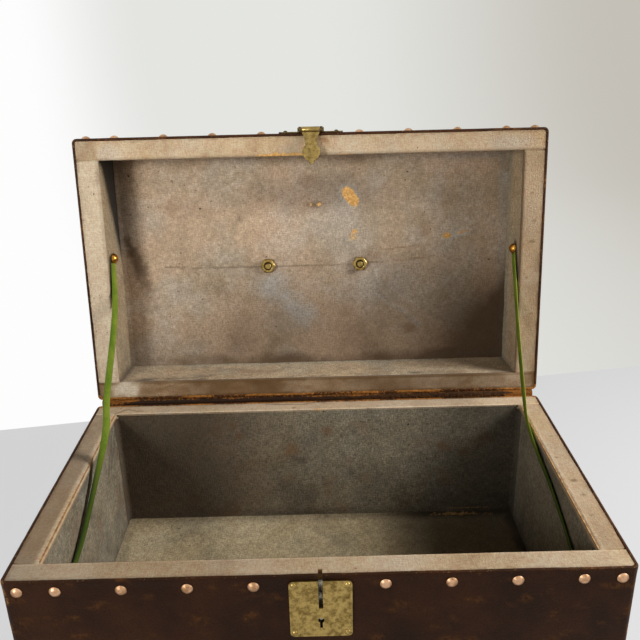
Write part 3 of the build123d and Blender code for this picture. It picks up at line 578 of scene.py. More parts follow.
def walls(half, name, material, folds, marks_of):
    """The lining cloth round the walls, as a band round the rounded cavity: wrinkled by up to half a
    millimetre, and by the folds given as a function of the distance round and the depth."""
    points, normals, lengths = outline(CLOTH_X, CLOTH_FRONT, CLOTH_BACK, half["bend"])
    deep = half["deep"]
    tail = np.where(np.abs(normals[:, 0]) > 0.7, half["tail"], half["long_tail"])[:, None]
    v = tail - 1.2 + (deep - tail + 1.2) * np.linspace(0, 1, max(12, int(deep / 2.2)))
    u = lengths[:, None] + 0 * v
    x0, y0 = points[:, :1], points[:, 1:]
    wrinkle = 0.28 * rough(u, 1.6 * v, 26, half["seed"] + 20) + 0.10 * rough(u, v, 7, half["seed"] + 23, 2)
    inward = 0.15 + wrinkle + folds(x0 + 0 * v, y0 + 0 * v, v)
    inward = inward * step(v, tail, tail + 5.0) + 0.6 * step(v, deep - 1.2, deep)
    px, py = x0 - normals[:, :1] * inward, y0 - normals[:, 1:] * inward
    at = half["at"](px, py, v)
    uv = np.stack([u, v], -1)
    marks = marks_of(px, py, v)
    return grid(name, at, material, half["body"], uv, marks, close=True, flip=half["flip"])


def panel(half, name, material, relief, marks_of, pitch=2.0):
    """The lining of the floor or the ceiling: a sheet as large as the cavity, lifting a little where it
    meets the walls, with the relief given as a function of x and y."""
    x = np.linspace(-CLOTH_X, CLOTH_X, int(2 * CLOTH_X / pitch) + 1)
    y = np.linspace(CLOTH_FRONT, CLOTH_BACK, int((CLOTH_BACK - CLOTH_FRONT) / pitch) + 1)
    px, py = np.meshgrid(x, y, indexing="ij")
    edge = np.minimum(CLOTH_X - np.abs(px), np.minimum(py - CLOTH_FRONT, CLOTH_BACK - py))
    lift = 1.3 * (1 - step(edge, 0.0, 4.0)) + relief(px, py) * step(edge, 0.5, 8.0)
    h = half["deep"] - 0.1 - np.clip(lift, 0, None)
    at, slot = half["at"](px, py, h), "lining_linen"
    marks = marks_of(px, py, edge)
    uv = np.stack([px, py], -1)
    return grid(name, at, material, half["body"], uv, marks, flip=half["flip"])


# The lid's cloth


def lid_front_strip(px, py, dirt, wear, bleach, rust):
    """Scuffs of the lid's front rim strip: bare wood and a red-brown scuff by the hasp, paler cloth at both
    ends."""
    wear = most(wear, 1.1 * spot(px, py, -24, -98.6, 20, 1.6, 0.5, 0, 0.5, 3))
    dirt = most(dirt, 0.35 * step(px, -180.0, -181.5)) + 0.1 * step(px, 0, 180)
    left_pale = 0.7 * spot(px, py, -170, -104, 11, 7, 0.6, 0, 0.5, 4) * step(px, -181.5, -180.0)
    right_pale = 0.8 * spot(px, py, 168, -104, 18, 7, 0.7, 0, 0.3, 6)
    scuff = spot(px, py, 11, -110, 3.6, 2.6, 0.5, 0.5, 0.3, 5)
    return dirt, wear, most(bleach, left_pale, right_pale), most(rust, scuff, 0.24 * step(px, 40, 180))


def lid_back_strip(px, py, dirt, wear, bleach, rust):
    """Stains of the lid's back rim strip: brown all along, with a dark curling crease, soil and a pale
    bloom at the left."""
    crease = line(px, py, [(-160, 101), (-150, 106), (-120, 103), (-96, 108), (-80, 104)], 1.4, 8, 2.0)
    soil = 0.45 * step(rough(px, py, 20, 77), 0.1, 0.7) * step(px, 60, -160)
    brown = 0.7 * step(rough(px, 2 * py, 12, 78), -0.2, 0.5)
    bloom = spot(px, py, -175, 106, 12, 8, 0.5, 0, 0.4, 9)
    dirt, rust = most(dirt, 0.7 * crease, soil) * (1 - bloom), most(rust, brown) * (1 - 0.7 * bloom)
    return dirt, 0 * wear, most(bleach, bloom), rust


def lid_left_strip(px, py, dirt, wear, bleach, rust):
    """The left side strip is the palest: bleached, with half the rust."""
    return dirt, wear, np.maximum(bleach, 0.55), 0.5 * rust


def right_strip(px, py, dirt, wear, bleach, rust):
    """Small dark spots on a side strip, and a brown tone, deeper towards the front."""
    places = ((188, -62, 1.4), (191, -38, 1.9), (190, -20, 2.6), (186, 12, 1.6), (192, 44, 1.5))
    specks = spots(px, py, [(0.8, x, y, r, 0.8 * r, 0.5, 0, 0.3, x + y) for x, y, r in places])
    return most(dirt, specks), wear, bleach, most(rust, 0.18 + 0.12 * step(py, 20, -90))


def lid_folds(x, y, v):
    """Soft bulges in the corners of the lid's wall cloth."""
    return 0.35 * (1 - step(from_corner(x, y), 0, 9)) * (0.6 + 0.4 * rough(v, x, 13, 5))


def lid_wall_marks(x, y, v):
    """Darker in the corners and along the ceiling, with random soil; painted shade over the left wall,
    deepest in a wedge by the front and the ceiling; brown spots low on the back wall, a bleached band by the
    ceiling, and on each side wall the painted shadow of its ribbon."""
    left, right, back = step(-x, *SIDE_WALL), step(x, *SIDE_WALL), step(y, 90, 96)
    dirt = 0.35 * (1 - step(from_corner(x, y), 0, 7)) + 0.25 * step(v, 46, 49)
    dirt = dirt + 0.25 * step(rough(x + y, v, 30, 61), 0.2, 0.8)
    # Painted shade: the left wall darkened, and a painted shadow in a wedge deep by the front.
    dirt = dirt + 0.34 * left + 0.8 * left * step(v / 49 - (y + 97) / 110, 0.0, 0.35)
    # Painted shadows cast by each ribbon on its side wall.
    left_ribbon_shadow = left * line(y, v, [(-12, 11), (8, 6), (34, 1)], 6.0, 64)
    right_ribbon_shadow = right * line(y, v, [(-14, 16), (4, 9), (24, 2)], 8.0, 65)
    low = 0.7 * (y > 90) * step(rough(x, 3 * v, 26, 62), 0.2, 0.7) * (1 - step(v, 6, 22))
    bleach = 0.6 * step(rough(x + y, v, 40, 63), 0.3, 0.8)
    band = 0.8 * back * step(v, 41, 46) * step(np.abs(x + 10), 150, 110)
    brown = 0.55 * back * step(rough(x, 1.6 * v, 13, 66), 0.1, 0.6) * (1 - step(v, 20, 44))
    sides = 0.25 * (left + right) * step(rough(1.4 * y, 0.5 * v, 12, 67), 0.2, 0.7)
    dirt = most(dirt, left_ribbon_shadow, right_ribbon_shadow, low)
    return dirt, 0 * dirt, most(bleach, 0.85 * right * step(v, 33, 40), band), most(brown, sides)


# Lines on the ceiling: the boards' crack by x and y, and by x and the distance from the hinge's side the
# crease below the right nut and the seams beside it
CRACK = [(-140, 3), (-95, 4.5), (-43, 4.2), (0, 5), (43, 3.8), (60, 4)]
CREASE = [(54, 112), (62, 88), (72, 74), (86, 62), (100, 50)]
SEAMS = [(60, 124), (84, 127), (108, 128)], [(48, 112), (84, 114), (112, 117)]


def ceiling_relief(x, y):
    """The ceiling cloth's bumps: slow lumps, the crack between the boards, a crease, and wrinkles at the
    front corners."""
    up = 0.22 + 0.22 * rough(x, y, 60, 31) + 0.06 * rough(x, y, 9, 35, 2)
    up += 0.35 * line(x, y, CRACK, 1.6, 3, 2.0)
    up += 0.8 * line(x, 116 - y, CREASE, 2.6, 4, 3.0)
    up += 0.35 * line(x, y, [(-160, -68), (-148, -66), (-120, -60)], 2.0, 7, 3.0)
    up += 0.35 * line(x, y, [(150, -84), (158, -72)], 1.6, 9, 2.0)
    return up - 0.15 * step(rough(x, y, 20, 39), 0.3, 0.9)


def ceiling_marks(x, y, edge):
    """Stains of the ceiling, placed by x and by s, the distance from the hinge's side, at the picture's
    foot. It is darker along the edges and soiled in blots; painted shade darkens the foot, more to the
    right, and a diagonal at the lower right, and painted shadows lie along the upper left edge and below the
    left tack and ribbon. Torn patches with pale halos show wood, a grey-blue tide runs down from the nuts
    and along the crease, with a painted highlight on its ridge, and thin rust-brown seams cross the right
    half."""
    s = 116 - y
    drift = 12 * rough(x, y, 40, 87)
    dirt = 0.3 * (1 - step(edge + 5 * rough(x, y, 24, 70), 0, 12))
    dirt = dirt + 0.2 * step(rough(x, y, 52, 71), 0.15, 0.8)
    # Painted shade: darker towards the foot, most on the right, and over a diagonal at the lower right.
    dirt = dirt + (0.04 + 0.54 * step(x, -150, -30)) * (1 - step(s + drift, 50, 150))
    dirt = dirt + 0.22 * (1 - step(s + drift, 25, 80)) * (1 - step(x, -110, -40))
    dirt = dirt + 0.48 * step(x - 0.55 * s + drift, 60, 145) * (1 - step(s, 60, 150))
    # Painted shadows: a streak below the left tack and ribbon, and a band along the left edge's upper part.
    dirt = most(dirt, 0.75 * spot(x, s, -164, 114, 6, 28, 0.8, 0.31, 0.6, 89))
    dirt = dirt + 0.35 * step(x, -162, -172) * step(s, 60, 150)
    cloud = 0.2 * spot(x, s, 60, 90, 60, 30, 0.9, 0.3, 0.5, 75) * step(rough(x, y, 16, 75), -0.1, 0.6)
    blots = [(0.45, 0, 178, 70, 14, 0.8, 0, 0.5, 72), (0.6, 35, 104, 5, 3, 0.6, 0.4, 0.5, 73)]
    blots.append((0.6, 3, 168, 8, 3, 0.5, 0, 0.5, 77))
    dirt = most(dirt, 0.6 * line(x, y, CRACK, 1.2, 3, 1.2), cloud, spots(x, s, blots))
    torn = [(1.0, 34.6, 174.5, 5.4, 11.4, 0.3, 0.62, 0.42, 79), (0.9, 6, 168, 2.6, 1.5, 0.4, 0, 0.4, 78)]
    torn += [(0.8, -1.5, 167.6, 1.8, 1.0, 0.4, 0, 0.4, 87), (0.8, 38.5, 142, 3.8, 2.0, 0.5, 0.2, 0.5, 79)]
    torn += [(0.52, 37, 137.5, 5.5, 4.2, 0.7, 0.4, 0.5, 86), (0.9, 124, 136, 4.2, 2.8, 0.4, 0.18, 0.4, 80)]
    torn.append((0.58, 139, 139.5, 9, 2.2, 0.5, 0.24, 0.3, 81))
    scratch = line(x, s, [(45, 196), (110, 192)], 1.2, 12, 3.0) * step(rough(x, y, 9, 13), 0.1, 0.5)
    tide = [(1.0, -40, 92, 12, 18, 0.6, -0.3, 0.5, 81), (1.0, -22, 72, 24, 12, 0.6, -0.6, 0.6, 82)]
    tide += [(0.65, 58, 90, 28, 18, 0.9, 0.3, 0.6, 95), (0.55, 30, 150, 26, 40, 0.9, 0.2, 0.6, 84)]
    tide += [(0.9, 34, 175, 9, 12, 0.3, 0.4, 0.3, 76), (0.9, 134, 138, 15, 4, 0.4, 0.2, 0.4, 81)]
    fold = 0.8 * line(x, s, CREASE, 5, 83, 3.0) * step(rough(x, y, 12, 94), -0.5, 0.4)
    # A painted highlight along the crease's ridge.
    crease_highlight = line(x, s, [(56, 85), (70, 73), (85, 64)], 1.8, 98, 1.0)
    rim = 0.7 * (1 - step(np.abs(edge - 5) + 3 * rough(x, y, 18, 85), 0, 6)) * step(x, 60, 150)
    bleach = 0.85 * most(spots(x, s, tide), fold, crease_highlight, rim)
    stains = [(0.7, 90, 48, 6, 5, 0.7, 0, 0.4, 74), (0.5, 52, 118, 9, 5, 0.8, 0, 0.6, 90)]
    stains += [(0.45, -4, 190, 7, 5, 0.8, 0, 0.6, 91), (0.6, 2, 168, 7, 2.6, 0.6, 0, 0.5, 92)]
    seams = most(*(line(x, s, seam, 1.1, 96, 1.5) for seam in SEAMS)) * step(rough(x, y, 15, 97), -0.5, 0.3)
    rust = most(spots(x, s, stains), 0.65 * seams, 0.3 * step(rough(x, y, 26, 93), 0.45, 0.8))
    return dirt, most(spots(x, s, torn), 0.45 * scratch), bleach, rust


lid_cloth = [
    rim_strip_long(LID, False, "lid_rim_front", 0.18, lid_front_strip),
    rim_strip_long(LID, True, "lid_rim_back", 0.95, lid_back_strip),
    rim_strip_side(LID, -1, "lid_rim_left", 0.0, lid_left_strip),
    rim_strip_side(LID, 1, "lid_rim_right", 0.6, right_strip),
]
for piece, node in zip(lid_cloth, ("front", "back", "left", "right")):
    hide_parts(f"lid_rim_cloth_{node}")
lid_walls = walls(LID, "lid_wall_cloth", LID_LINEN, lid_folds, lid_wall_marks)
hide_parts("lid_wall_lining")
lid_ceiling = panel(LID, "lid_ceiling_cloth", CEILING_LINEN, ceiling_relief, ceiling_marks, 1.5)
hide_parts("lid_ceiling_lining")


# The base's cloth


def base_back_strip(px, py, dirt, wear, bleach, rust):
    """Stains of the base's back rim strip: dark cracks at the left and the middle, and a spot."""
    left_crack = line(px, py, [(-180, 101), (-172, 108), (-158, 103)], 1.2, 21, 2.0)
    middle_crack = line(px, py, [(-46, 111), (-20, 110), (6, 112)], 1.8, 22, 2.0)
    speck = spot(px, py, -21, 104, 1.6, 1.2, 0.4, 0, 0.3, 23)
    soil = 0.3 * step(rough(px, py, 24, 24), 0.1, 0.8)
    return most(dirt, 0.9 * left_crack, 0.8 * middle_crack, 0.9 * speck, soil), wear, bleach, rust


def base_folds(x, y, v):
    """The base's wall cloth: soft bulges, upright creases on the side walls, and crumpled diagonals on the
    left one beside the back corner."""
    back = CLOTH_BACK - y
    side = step(np.abs(x), *SIDE_WALL)
    diagonal = np.exp(-((back - 16) ** 2) / 500) * (x < -170)
    creases = 1.5 * diagonal * np.maximum(0, rough(back + 0.9 * v, 0.3 * v, 9, 88)) * step(v, 92, 40)
    upright = 0.35 * side * np.maximum(0, rough(1.2 * y, 0.2 * v, 9, 86))
    slack = 0.5 * step(rough(x + y, 0.6 * v, 34, 89), -0.2, 0.8) * step(v, 110, 60)
    return creases + upright + slack


def base_wall_marks(x, y, v):
    """Darker towards the floor and in the corners, with dirt in streaks on the side walls, and painted
    shadows darkening both ends of the back wall, its left end browner too. Brown spots, a crack and bare
    threads on the back wall, and dark folds on the left wall by the back corner, painted shade in the folds."""
    back, left, from_back = (y > 90) * 1.0, x < -170, CLOTH_BACK - y
    dirt = 0.5 * (1 - step(from_corner(x, y), 1, 12)) + 0.45 * step(v, 100, 112)
    dirt = dirt + 0.5 * step(rough(x + y, v, 44, 90), 0.1, 0.75)
    places = ((114, 42, 5), (150, 36, 4), (98, 18, 4), (-70, 40, 4), (-20, 52, 5), (30, 66, 3))
    blots = spots(x, v, [(0.55, cx, cv, 1.3 * r, r, 0.9, 0, 0.9, cx + 200) for cx, cv, r in places])
    crack = 0.6 * line(x, v, [(-132, 3), (-112, 14), (-98, 30), (-81, 46)], 2.6, 93, 4.0)
    # Painted shadows at both ends of the back wall.
    dirt = most(dirt, back * most(blots, crack, 0.75 * step(x, 0, -120), 0.75 * step(x, 25, 170)))
    streaks = 0.28 * step(np.abs(x), *SIDE_WALL) * step(rough(1.3 * y, 0.25 * v, 12, 101), 0.1, 0.7)
    near = (1 - step(from_back, 20, 60)) * left
    # Painted shade in the crumpled folds by the back corner.
    folds = 0.8 * near * step(rough(1.5 * y + 0.6 * v, 0.3 * v, 10, 102), 0.2, 0.6)
    dirt = most(dirt, streaks, folds)
    for shift in (0, 11):
        stroke = [(5 + shift, 5), (16 + shift, 18), (34 + shift, 34)]
        dirt = most(dirt, 0.6 * left * line(from_back, v, stroke, 2.6, 108 + shift, 2.0))
    bare = [(0.5, 140, 109, 22, 1.4, 0.5, 0, 0.8, 95), (0.6, 80, 22, 6, 1.0, 0.4, 0.1, 0.6, 104)]
    # Random brown, and the back wall's left end browner, part of its painted shadow.
    rust = 0.3 * step(rough(x + y, v, 18, 105), 0.2, 0.7) + 0.4 * back * step(x, 20, -120)
    places = ((-76, 15, 4), (-72, 25, 3.4), (-24, 41, 6), (8, 22, 4))
    places += ((114, 42, 4.6), (150, 34, 5), (132, 48, 3))
    brown = spots(x, v, [(0.75, cx, cv, 1.4 * r, r, 0.8, 0, 0.9, cx + 300) for cx, cv, r in places])
    rust = most(rust, back * brown, 0.6 * near * step(rough(1.4 * y, 0.5 * v, 8, 106), 0.1, 0.6))
    return dirt, back * spots(x, v, bare), 0.55 * step(rough(x + y, v, 60, 91), -0.1, 0.7), rust


def floor_relief(x, y):
    """The floor cloth's slow lumps."""
    return 0.3 + 0.3 * rough(x, y, 50, 92) + 0.08 * rough(x, y, 9, 93, 2)


def floor_marks(x, y, edge):
    """Darker along the floor's edges, with patches of soil and a painted shadow over the right part; bare
    threads by the back wall, and brown stains, more to the right."""
    dirt = 0.5 * (1 - step(edge + 4 * rough(x, y, 22, 94), 0, 13))
    dirt = dirt + 0.5 * step(rough(x, y, 60, 96), 0.1, 0.8)
    bare = [(0.6, 128, 96, 22, 2.4, 0.6, 0, 0.9, 97), (0.5, 158, 95, 9, 2.0, 0.6, 0, 0.9, 98)]
    rust = 0.35 * step(rough(x, y, 20, 107), 0.3, 0.8) + 0.25 * step(x, 20, 110)
    bleach = 0.4 * step(rough(x, y, 40, 99), 0.2, 0.8)
    # Painted shadow over the floor's right part, added to the dirt.
    return dirt + 0.55 * step(x, 30, 110), spots(x, y, bare), bleach, rust


def base_left_strip(px, py, dirt, wear, bleach, rust):
    """The left side strip's flat part is soiled and browner towards the front, and its roll keeps its
    painted highlight.
    """
    flat = step(px, -183.5, -184.5)
    return dirt + 0.14 * flat, wear, bleach, most(rust, 0.3 * flat * step(py, 60, -80))


base_cloth = [
    rim_strip_long(BASE_LONG, False, "base_rim_front", 0.25),
    rim_strip_long(BASE_LONG, True, "base_rim_back", 0.35, base_back_strip),
    rim_strip_side(BASE, -1, "base_rim_left", 0.4, base_left_strip),
    rim_strip_side(BASE, 1, "base_rim_right", 0.36, right_strip),
]
for piece, node in zip(base_cloth, ("front", "back", "left", "right")):
    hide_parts(f"base_rim_cloth_{node}")
base_walls = walls(BASE, "base_wall_cloth", BASE_LINEN, base_folds, base_wall_marks)
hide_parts("base_wall_lining")
base_floor = panel(BASE, "base_floor_cloth", FLOOR_LINEN, floor_relief, floor_marks)
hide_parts("base_floor_lining")


# The leather skin


def stud_dimple(u, z, places, level, radius=6.0):
    """How far the leather is drawn in round a row of studs, from 0 to 1: a bell of that radius at each."""
    near = np.min([np.abs(u - place) for place in places], axis=0)
    return np.exp(-((np.hypot(near, z - level) / radius) ** 2))


LONG_ROW = [41.5 * k for k in range(-4, 5)] + [-190.0, 190.0]
SHORT_ROW = [-106.0, -62.25, -20.75, 20.75, 62.25, 106.0]


def skin_relief(px, py, z, rows):
    """How far the leather lies inside its full size: slow lumps, and hollows drawn round the studs."""
    long_side = np.abs(py) > HALF_D - 5
    along = np.where(long_side, px, py)
    sink = 0.18 + 0.16 * rough(px + 1.7 * py, z, 34, 131) + 0.05 * rough(px - py, z, 6, 135, 2)
    for level in rows:
        for places, chosen in ((LONG_ROW, long_side), (SHORT_ROW, ~long_side)):
            sink = sink + 0.28 * stud_dimple(along, z, places, level) * chosen
    return np.clip(sink, 0.02, 0.8)


def skin_marks(px, py, rim, edge):
    """Scuffs, tan wear on corners and edges, and orange rot along the cut edge and beside the hinge, from
    the distances to the rim and to the far edge."""
    around = px + py
    corner = np.hypot(HALF_W - np.abs(px), HALF_D - np.abs(py))
    fray = rough(around, rim, 8, 140)
    corners = 0.75 * (1 - step(corner + 2.5 * fray, 1.5, 6.0)) * step(rough(rim, around, 25, 141), -0.5, 0.3)
    edges = 0.8 * (1 - step(edge + 1.6 * fray, 0.2, 3.2)) * step(rough(around, rim, 21, 142), -0.3, 0.4)
    wear = most(corners, edges, 0.45 * (1 - step(rim + 1.2 * fray, 0.0, 1.6)))
    scuff = 0.8 * step(rough(around, 2.2 * rim, 16, 143), 0.35, 0.75)
    by_hinge = (py > HALF_D - 6) * (1 - step(rim + 2.0 * fray, 1.5, 7.0))
    cut = 0.6 * (1 - step(rim, 0, 2.4)) * step(rough(around, rim, 30, 144), -0.1, 0.6)
    return scuff, wear, by_hinge * (0.6 + 0.5 * step(np.abs(px), 150, 192)) + cut * step(py, -40, 110)


def lip():
    """The cut edge of the leather, from inside to outside: offsets out from its full size and levels down
    from the rim, over an edge rounded by wear."""
    inner = LEATHER + 0.5
    inside = [(-inner, 1.6), (-inner, 0.35), (0.3 - inner, 0.08)]
    return inside + [(-1.3, 0.0), (-0.6, 0.06), (-0.2, 0.3), (-0.03, 0.8)]


def lid_top(rim_x, rim_y):
    """The leather over the lid's top: rings that shrink from its wall's last row to the middle, slack
    between the edges and drawn in round the handle's two posts. Returns its points and marks."""
    rings = np.r_[0.985, 0.96, 0.93, np.linspace(0.9, 0.0, 26)]
    x, y = rim_x * rings, rim_y * rings
    edge = np.minimum(HALF_W - np.abs(x), HALF_D - np.abs(y))
    sag = 0.12 + 0.25 * rough(x, y, 60, 160) + 0.05 * rough(x, y, 8, 163, 2)
    for post in (-HANDLE_X, HANDLE_X):
        sag = sag + 0.3 * np.exp(-((np.hypot(x - post, y - HANDLE_Y) / 15) ** 2))
    z = LID_TOP - np.clip(sag, 0, 0.8) * step(edge, 1.0, 8.0)
    rubbed = 1 - step(edge + 2.0 * rough(x, y, 9, 165), 0.5, 4.0)
    wear = 0.7 * rubbed * step(rough(x, y, 24, 166), -0.2, 0.4)
    scuff = 0.9 * step(rough(x, 1.6 * y, 26, 167), 0.3, 0.75)
    return np.stack([x, y, z], -1), (scuff, wear, 0 * x)


def leather_skin(name, lid):
    """The covering leather of one half: over the cut edge, down the wall and round the far edge, and on the
    lid over the top as well. The base's is open at the staple's channel and the lock's pocket."""
    points, normals, lengths = outline(HALF_W, -HALF_D, HALF_D, SKIN_CORNER, 2.4, 8)
    for place in CHANNEL:
        points[np.argmin(np.hypot(points[:, 0] - place, points[:, 1] + HALF_D)), 0] = place
    height = LID_H if lid else BASE_H - LEATHER
    profile = lip() + [(0.0, d) for d in np.linspace(2.0, height - 2.6, int(height / 2.2))]
    turn = np.linspace(0.1, math.pi / 2, 6)
    bend = zip(-TOP_ROUND * (1 - np.cos(turn)), height - TOP_ROUND * (1 - np.sin(turn)))
    offset, down = np.array([*profile, *(bend if lid else [(0.0, height)])]).T
    x0, y0 = points[:, :1], points[:, 1:]
    rows = [STUD_ROW] if lid else [STUD_ROW, BASE_H - STUD_ROW]
    sink = skin_relief(x0 + 0 * down, y0 + 0 * down, down + 0 * x0, rows)
    sink = sink * step(down, 1.5, 6.0) * (1 if lid else step(height - down, 0.0, 3.0))
    inward = sink - offset + np.where(offset < -1.0, 0.3, 0.0) * rough(lengths, 7, 17, 151)[:, None]
    px, py = x0 - normals[:, :1] * inward, y0 - normals[:, 1:] * inward
    nicks = 0.25 * np.clip(rough(lengths, 0, 11, 150), 0, 1)[:, None]
    level = down + np.where(down < 0.9, nicks, 0) + 0 * px
    marks = skin_marks(px, py, level, np.abs(height - down) + 0 * px)
    if lid:
        top, top_marks = lid_top(px[:, -1:], py[:, -1:])
        at = opened(np.concatenate([np.stack([px, py, LID_RIM + level], -1), top], 1))
        marks = [np.concatenate(pair, 1) for pair in zip(marks, top_marks)]
        gaps = None
    else:
        z = BASE_H - level
        at = np.stack([px, py, z], -1)
        channel = (px >= CHANNEL[0] - 0.1) & (px < CHANNEL[1] - 0.1) & (z > CHANNEL_FOOT)
        pocket = (px > POCKET[0]) & (px < POCKET[1] - 2) & (z > POCKET_FOOT + 2) & (z < POCKET_TOP)
        gaps = (y0 < -HALF_D + 1) & (channel | pocket)
    uv = np.stack(np.broadcast_arrays(lengths[:, None], np.arange(at.shape[1]) * 2.0), -1)
    body = "lid" if lid else "base"
    return grid(name, at, SKIN, body, uv, marks, close=True, flip=lid, gaps=gaps)


lid_skin = leather_skin("lid_skin", True)
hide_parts("lid_wall_leather", "lid_top_leather")
base_skin = leather_skin("base_skin", False)
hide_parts("base_wall_leather")


# The hinge


def hinge_piece():
    """The hinge leather: down the base's back, over the fold and along the lid's back, dry and crumbling by
    up to 0.14 mm, its ends wavering by 0.033 mm. Its section is an arc about the hinge line with two flat
    leaves, and v is the distance along it."""
    outer, inner, middle, half = 2.95, 1.75, 2.4, 196.0
    base_leaf = np.linspace(-25.2, 0, 14)[:-1]
    lid_leaf = np.linspace(0, 23.2, 13)[1:]
    turn = np.linspace(0, OPEN, 15)
    sin, cos = math.sin(OPEN), math.cos(OPEN)

    def section(radius):
        """y and z along the strip at that distance from the hinge line."""
        y = np.r_[np.full(len(base_leaf), -radius), -radius * np.cos(turn), -radius * cos + lid_leaf * sin]
        return y, np.r_[base_leaf, radius * np.sin(turn), radius * sin + lid_leaf * cos]

    run = np.r_[base_leaf, turn * middle, OPEN * middle + lid_leaf]
    y, z = (np.r_[far, near[::-1], far[0]] for far, near in zip(section(outer), section(inner)))
    px, v = np.broadcast_arrays(np.linspace(-half, half, 240)[:, None], np.r_[run, run[::-1], run[0]])
    px = px * (1 + 0.033 / half * rough(v, 0, 7, 171))
    fold = np.exp(-(((v - 2.0) / 6.0) ** 2))
    crumble = np.clip(rough(px, v, 5, 173, 3), -1, 1) * fold
    at = np.stack([px, HINGE_Y + y + 0.14 * crumble, HINGE_Z + z + 0 * px], -1)
    ragged = rough(px, v, 20, 174)
    lid_side = step(v + 0.7 * ragged, 1.5, 2.3) * step(v, 6.5, 5.0)
    base_side = step(v, 1.1, 0.5) * step(px, -60, 90)
    ends = step(np.abs(px) + 8 * ragged, 160, 186) * fold
    rot = (0.68 + 0.16 * ragged + 0.2 * step(np.abs(px), 150, 190)) * lid_side + 0.6 * base_side + 0.9 * ends
    wear = 0.35 * lid_side * step(rough(px, v, 18, 175), -0.2, 0.5)
    scuff = 0.1 + 0.6 * step(px, -60, 110)
    piece = grid("hinge_strip", at, HINGE, None, np.stack([px, v], -1), (scuff, wear, rot))
    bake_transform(piece)
    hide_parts("hinge_leather_strip")


hinge_piece()


# The ribbons


def smooth_path(points, pitch=2.0):
    """A smooth curve through the points at an even pitch: Catmull-Rom between them, then evened out."""
    p = np.array(points, float)
    p = np.vstack([2 * p[0] - p[1], p, 2 * p[-1] - p[-2]])
    fine = []
    t = np.linspace(0, 1, 40, endpoint=False)[:, None]
    for a, b, c, d in zip(p, p[1:], p[2:], p[3:]):
        bend, twist = 2 * a - 5 * b + 4 * c - d, 3 * b - a - 3 * c + d
        fine.append(0.5 * (2 * b + (c - a) * t + bend * t**2 + twist * t**3))
    fine = np.vstack(fine + [p[-2][None]])
    length = np.r_[0, np.cumsum(np.linalg.norm(np.diff(fine, axis=0), axis=1))]
    even = np.linspace(0, length[-1], int(length[-1] / pitch))
    return np.stack([np.interp(even, length, fine[:, i]) for i in range(fine.shape[1])], 1), even


def ribbon_piece(side, name, points):
    """A ribbon stay through points of y, z, distance in from the wall, turn in degrees and width: at no
    turn its face is to the front, at a quarter turn it lies flat to the wall. Its section is a flat oval
    0.6 mm thick, cupped by half a millimetre at the lid's tack."""
    path, along = smooth_path(points)
    y, z, gap, turn, width = path.T
    turn = np.radians(turn)[:, None]
    centre = np.stack([side * (CLOTH_X - gap), y, z], 1)
    forward = np.gradient(centre, axis=0)
    forward /= np.linalg.norm(forward, axis=1)[:, None]
    outward = np.array([side, 0.0, 0.0])
    across = outward - forward * (forward @ outward)[:, None]
    across /= np.linalg.norm(across, axis=1)[:, None]
    wide = across * np.cos(turn) + side * np.cross(forward, across) * np.sin(turn)
    thick = np.cross(forward, wide)
    half = np.linspace(-0.5, 0.5, 9)
    crown = 0.3 * np.sqrt(np.clip(1.02 - (2 * half) ** 2, 0, 1)) ** 0.35
    u = np.r_[half, half[::-1], half[0]]
    along = along[:, None]
    lift = np.r_[crown, -crown, crown[0]] + 2.0 * u**2 * step(along, 40, 8)
    p = centre[:, None, :] + wide[:, None, :] * (width[:, None] * u)[..., None]
    p = p + thick[:, None, :] * lift[..., None]
    edge = side * u
    # Painted shade along one edge, by the lid's tack and down in the base; a painted highlight along the
    # other edge, strong on the right ribbon.
    soil = 0.3 * step(edge, 0.1, -0.5) + 0.5 * step(along, 12, 2) + 0.7 * step(along, 160, 225)
    pale = (0.6 if side > 0 else 0.1) * step(edge, 0.1, 0.45) * step(along, 240, 120)
    uv = np.stack(np.broadcast_arrays(u * 7.0, along), -1)
    piece = grid(name, p, GREEN, None, uv, (soil, pale, 0 * soil))
    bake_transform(piece)
    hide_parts(f"ribbon_{name.split('_')[0]}")


# Each row is y, z, gap from the wall, turn and width, from the lid's tack to the base's tack
LEFT_WAY = [(152, 258.5, 0.9, 50, 4.4), (148, 250, 1.6, 58, 5.4), (120, 213, 5, 62, 7)]
LEFT_WAY += [(58.3, 167.1, 8.2, 60, 7), (36, 145.3, 10, 56, 7), (8, 115.5, 5.2, 74, 7)]
LEFT_WAY += [(-36, 91.4, 3.2, 82, 7), (-74, 81, 0.8, 90, 5.5)]
RIGHT_WAY = [(152, 258.5, 0.9, 68, 4.4), (148, 249, 1.4, 72, 5.4), (122, 211, 3, 84, 7)]
RIGHT_WAY += [(84.1, 150.9, 2.6, 80, 7), (57.3, 125, 2.4, 92, 7), (-9.7, 111, 2.2, 97, 7)]
RIGHT_WAY += [(-56, 96, 1.8, 97, 7), (-74, 81, 0.8, 92, 5.5)]
ribbon_piece(-1, "left_ribbon", LEFT_WAY)
ribbon_piece(1, "right_ribbon", RIGHT_WAY)


# Edges of the metal pieces, softened by a small bevel over the CAD meshes
BEVELS = {"hasp_leaf": 0.5, "hasp_plate": 0.25, "hasp_staple": 0.3}
BEVELS |= {"handle_nuts": 0.3, "handle_roses": 0.25, "lock_bolt": 0.2}
for name, width in BEVELS.items():
    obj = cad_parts[name]
    weld = obj.modifiers.new("weld", "WELD")
    weld.merge_threshold = 0.00002
    bevel = obj.modifiers.new("bevel", "BEVEL")
    bevel.width = width * 0.001
    bevel.segments = 2
    bevel.limit_method = "ANGLE"
    bevel.angle_limit = math.radians(35)
    bevel.harden_normals = True


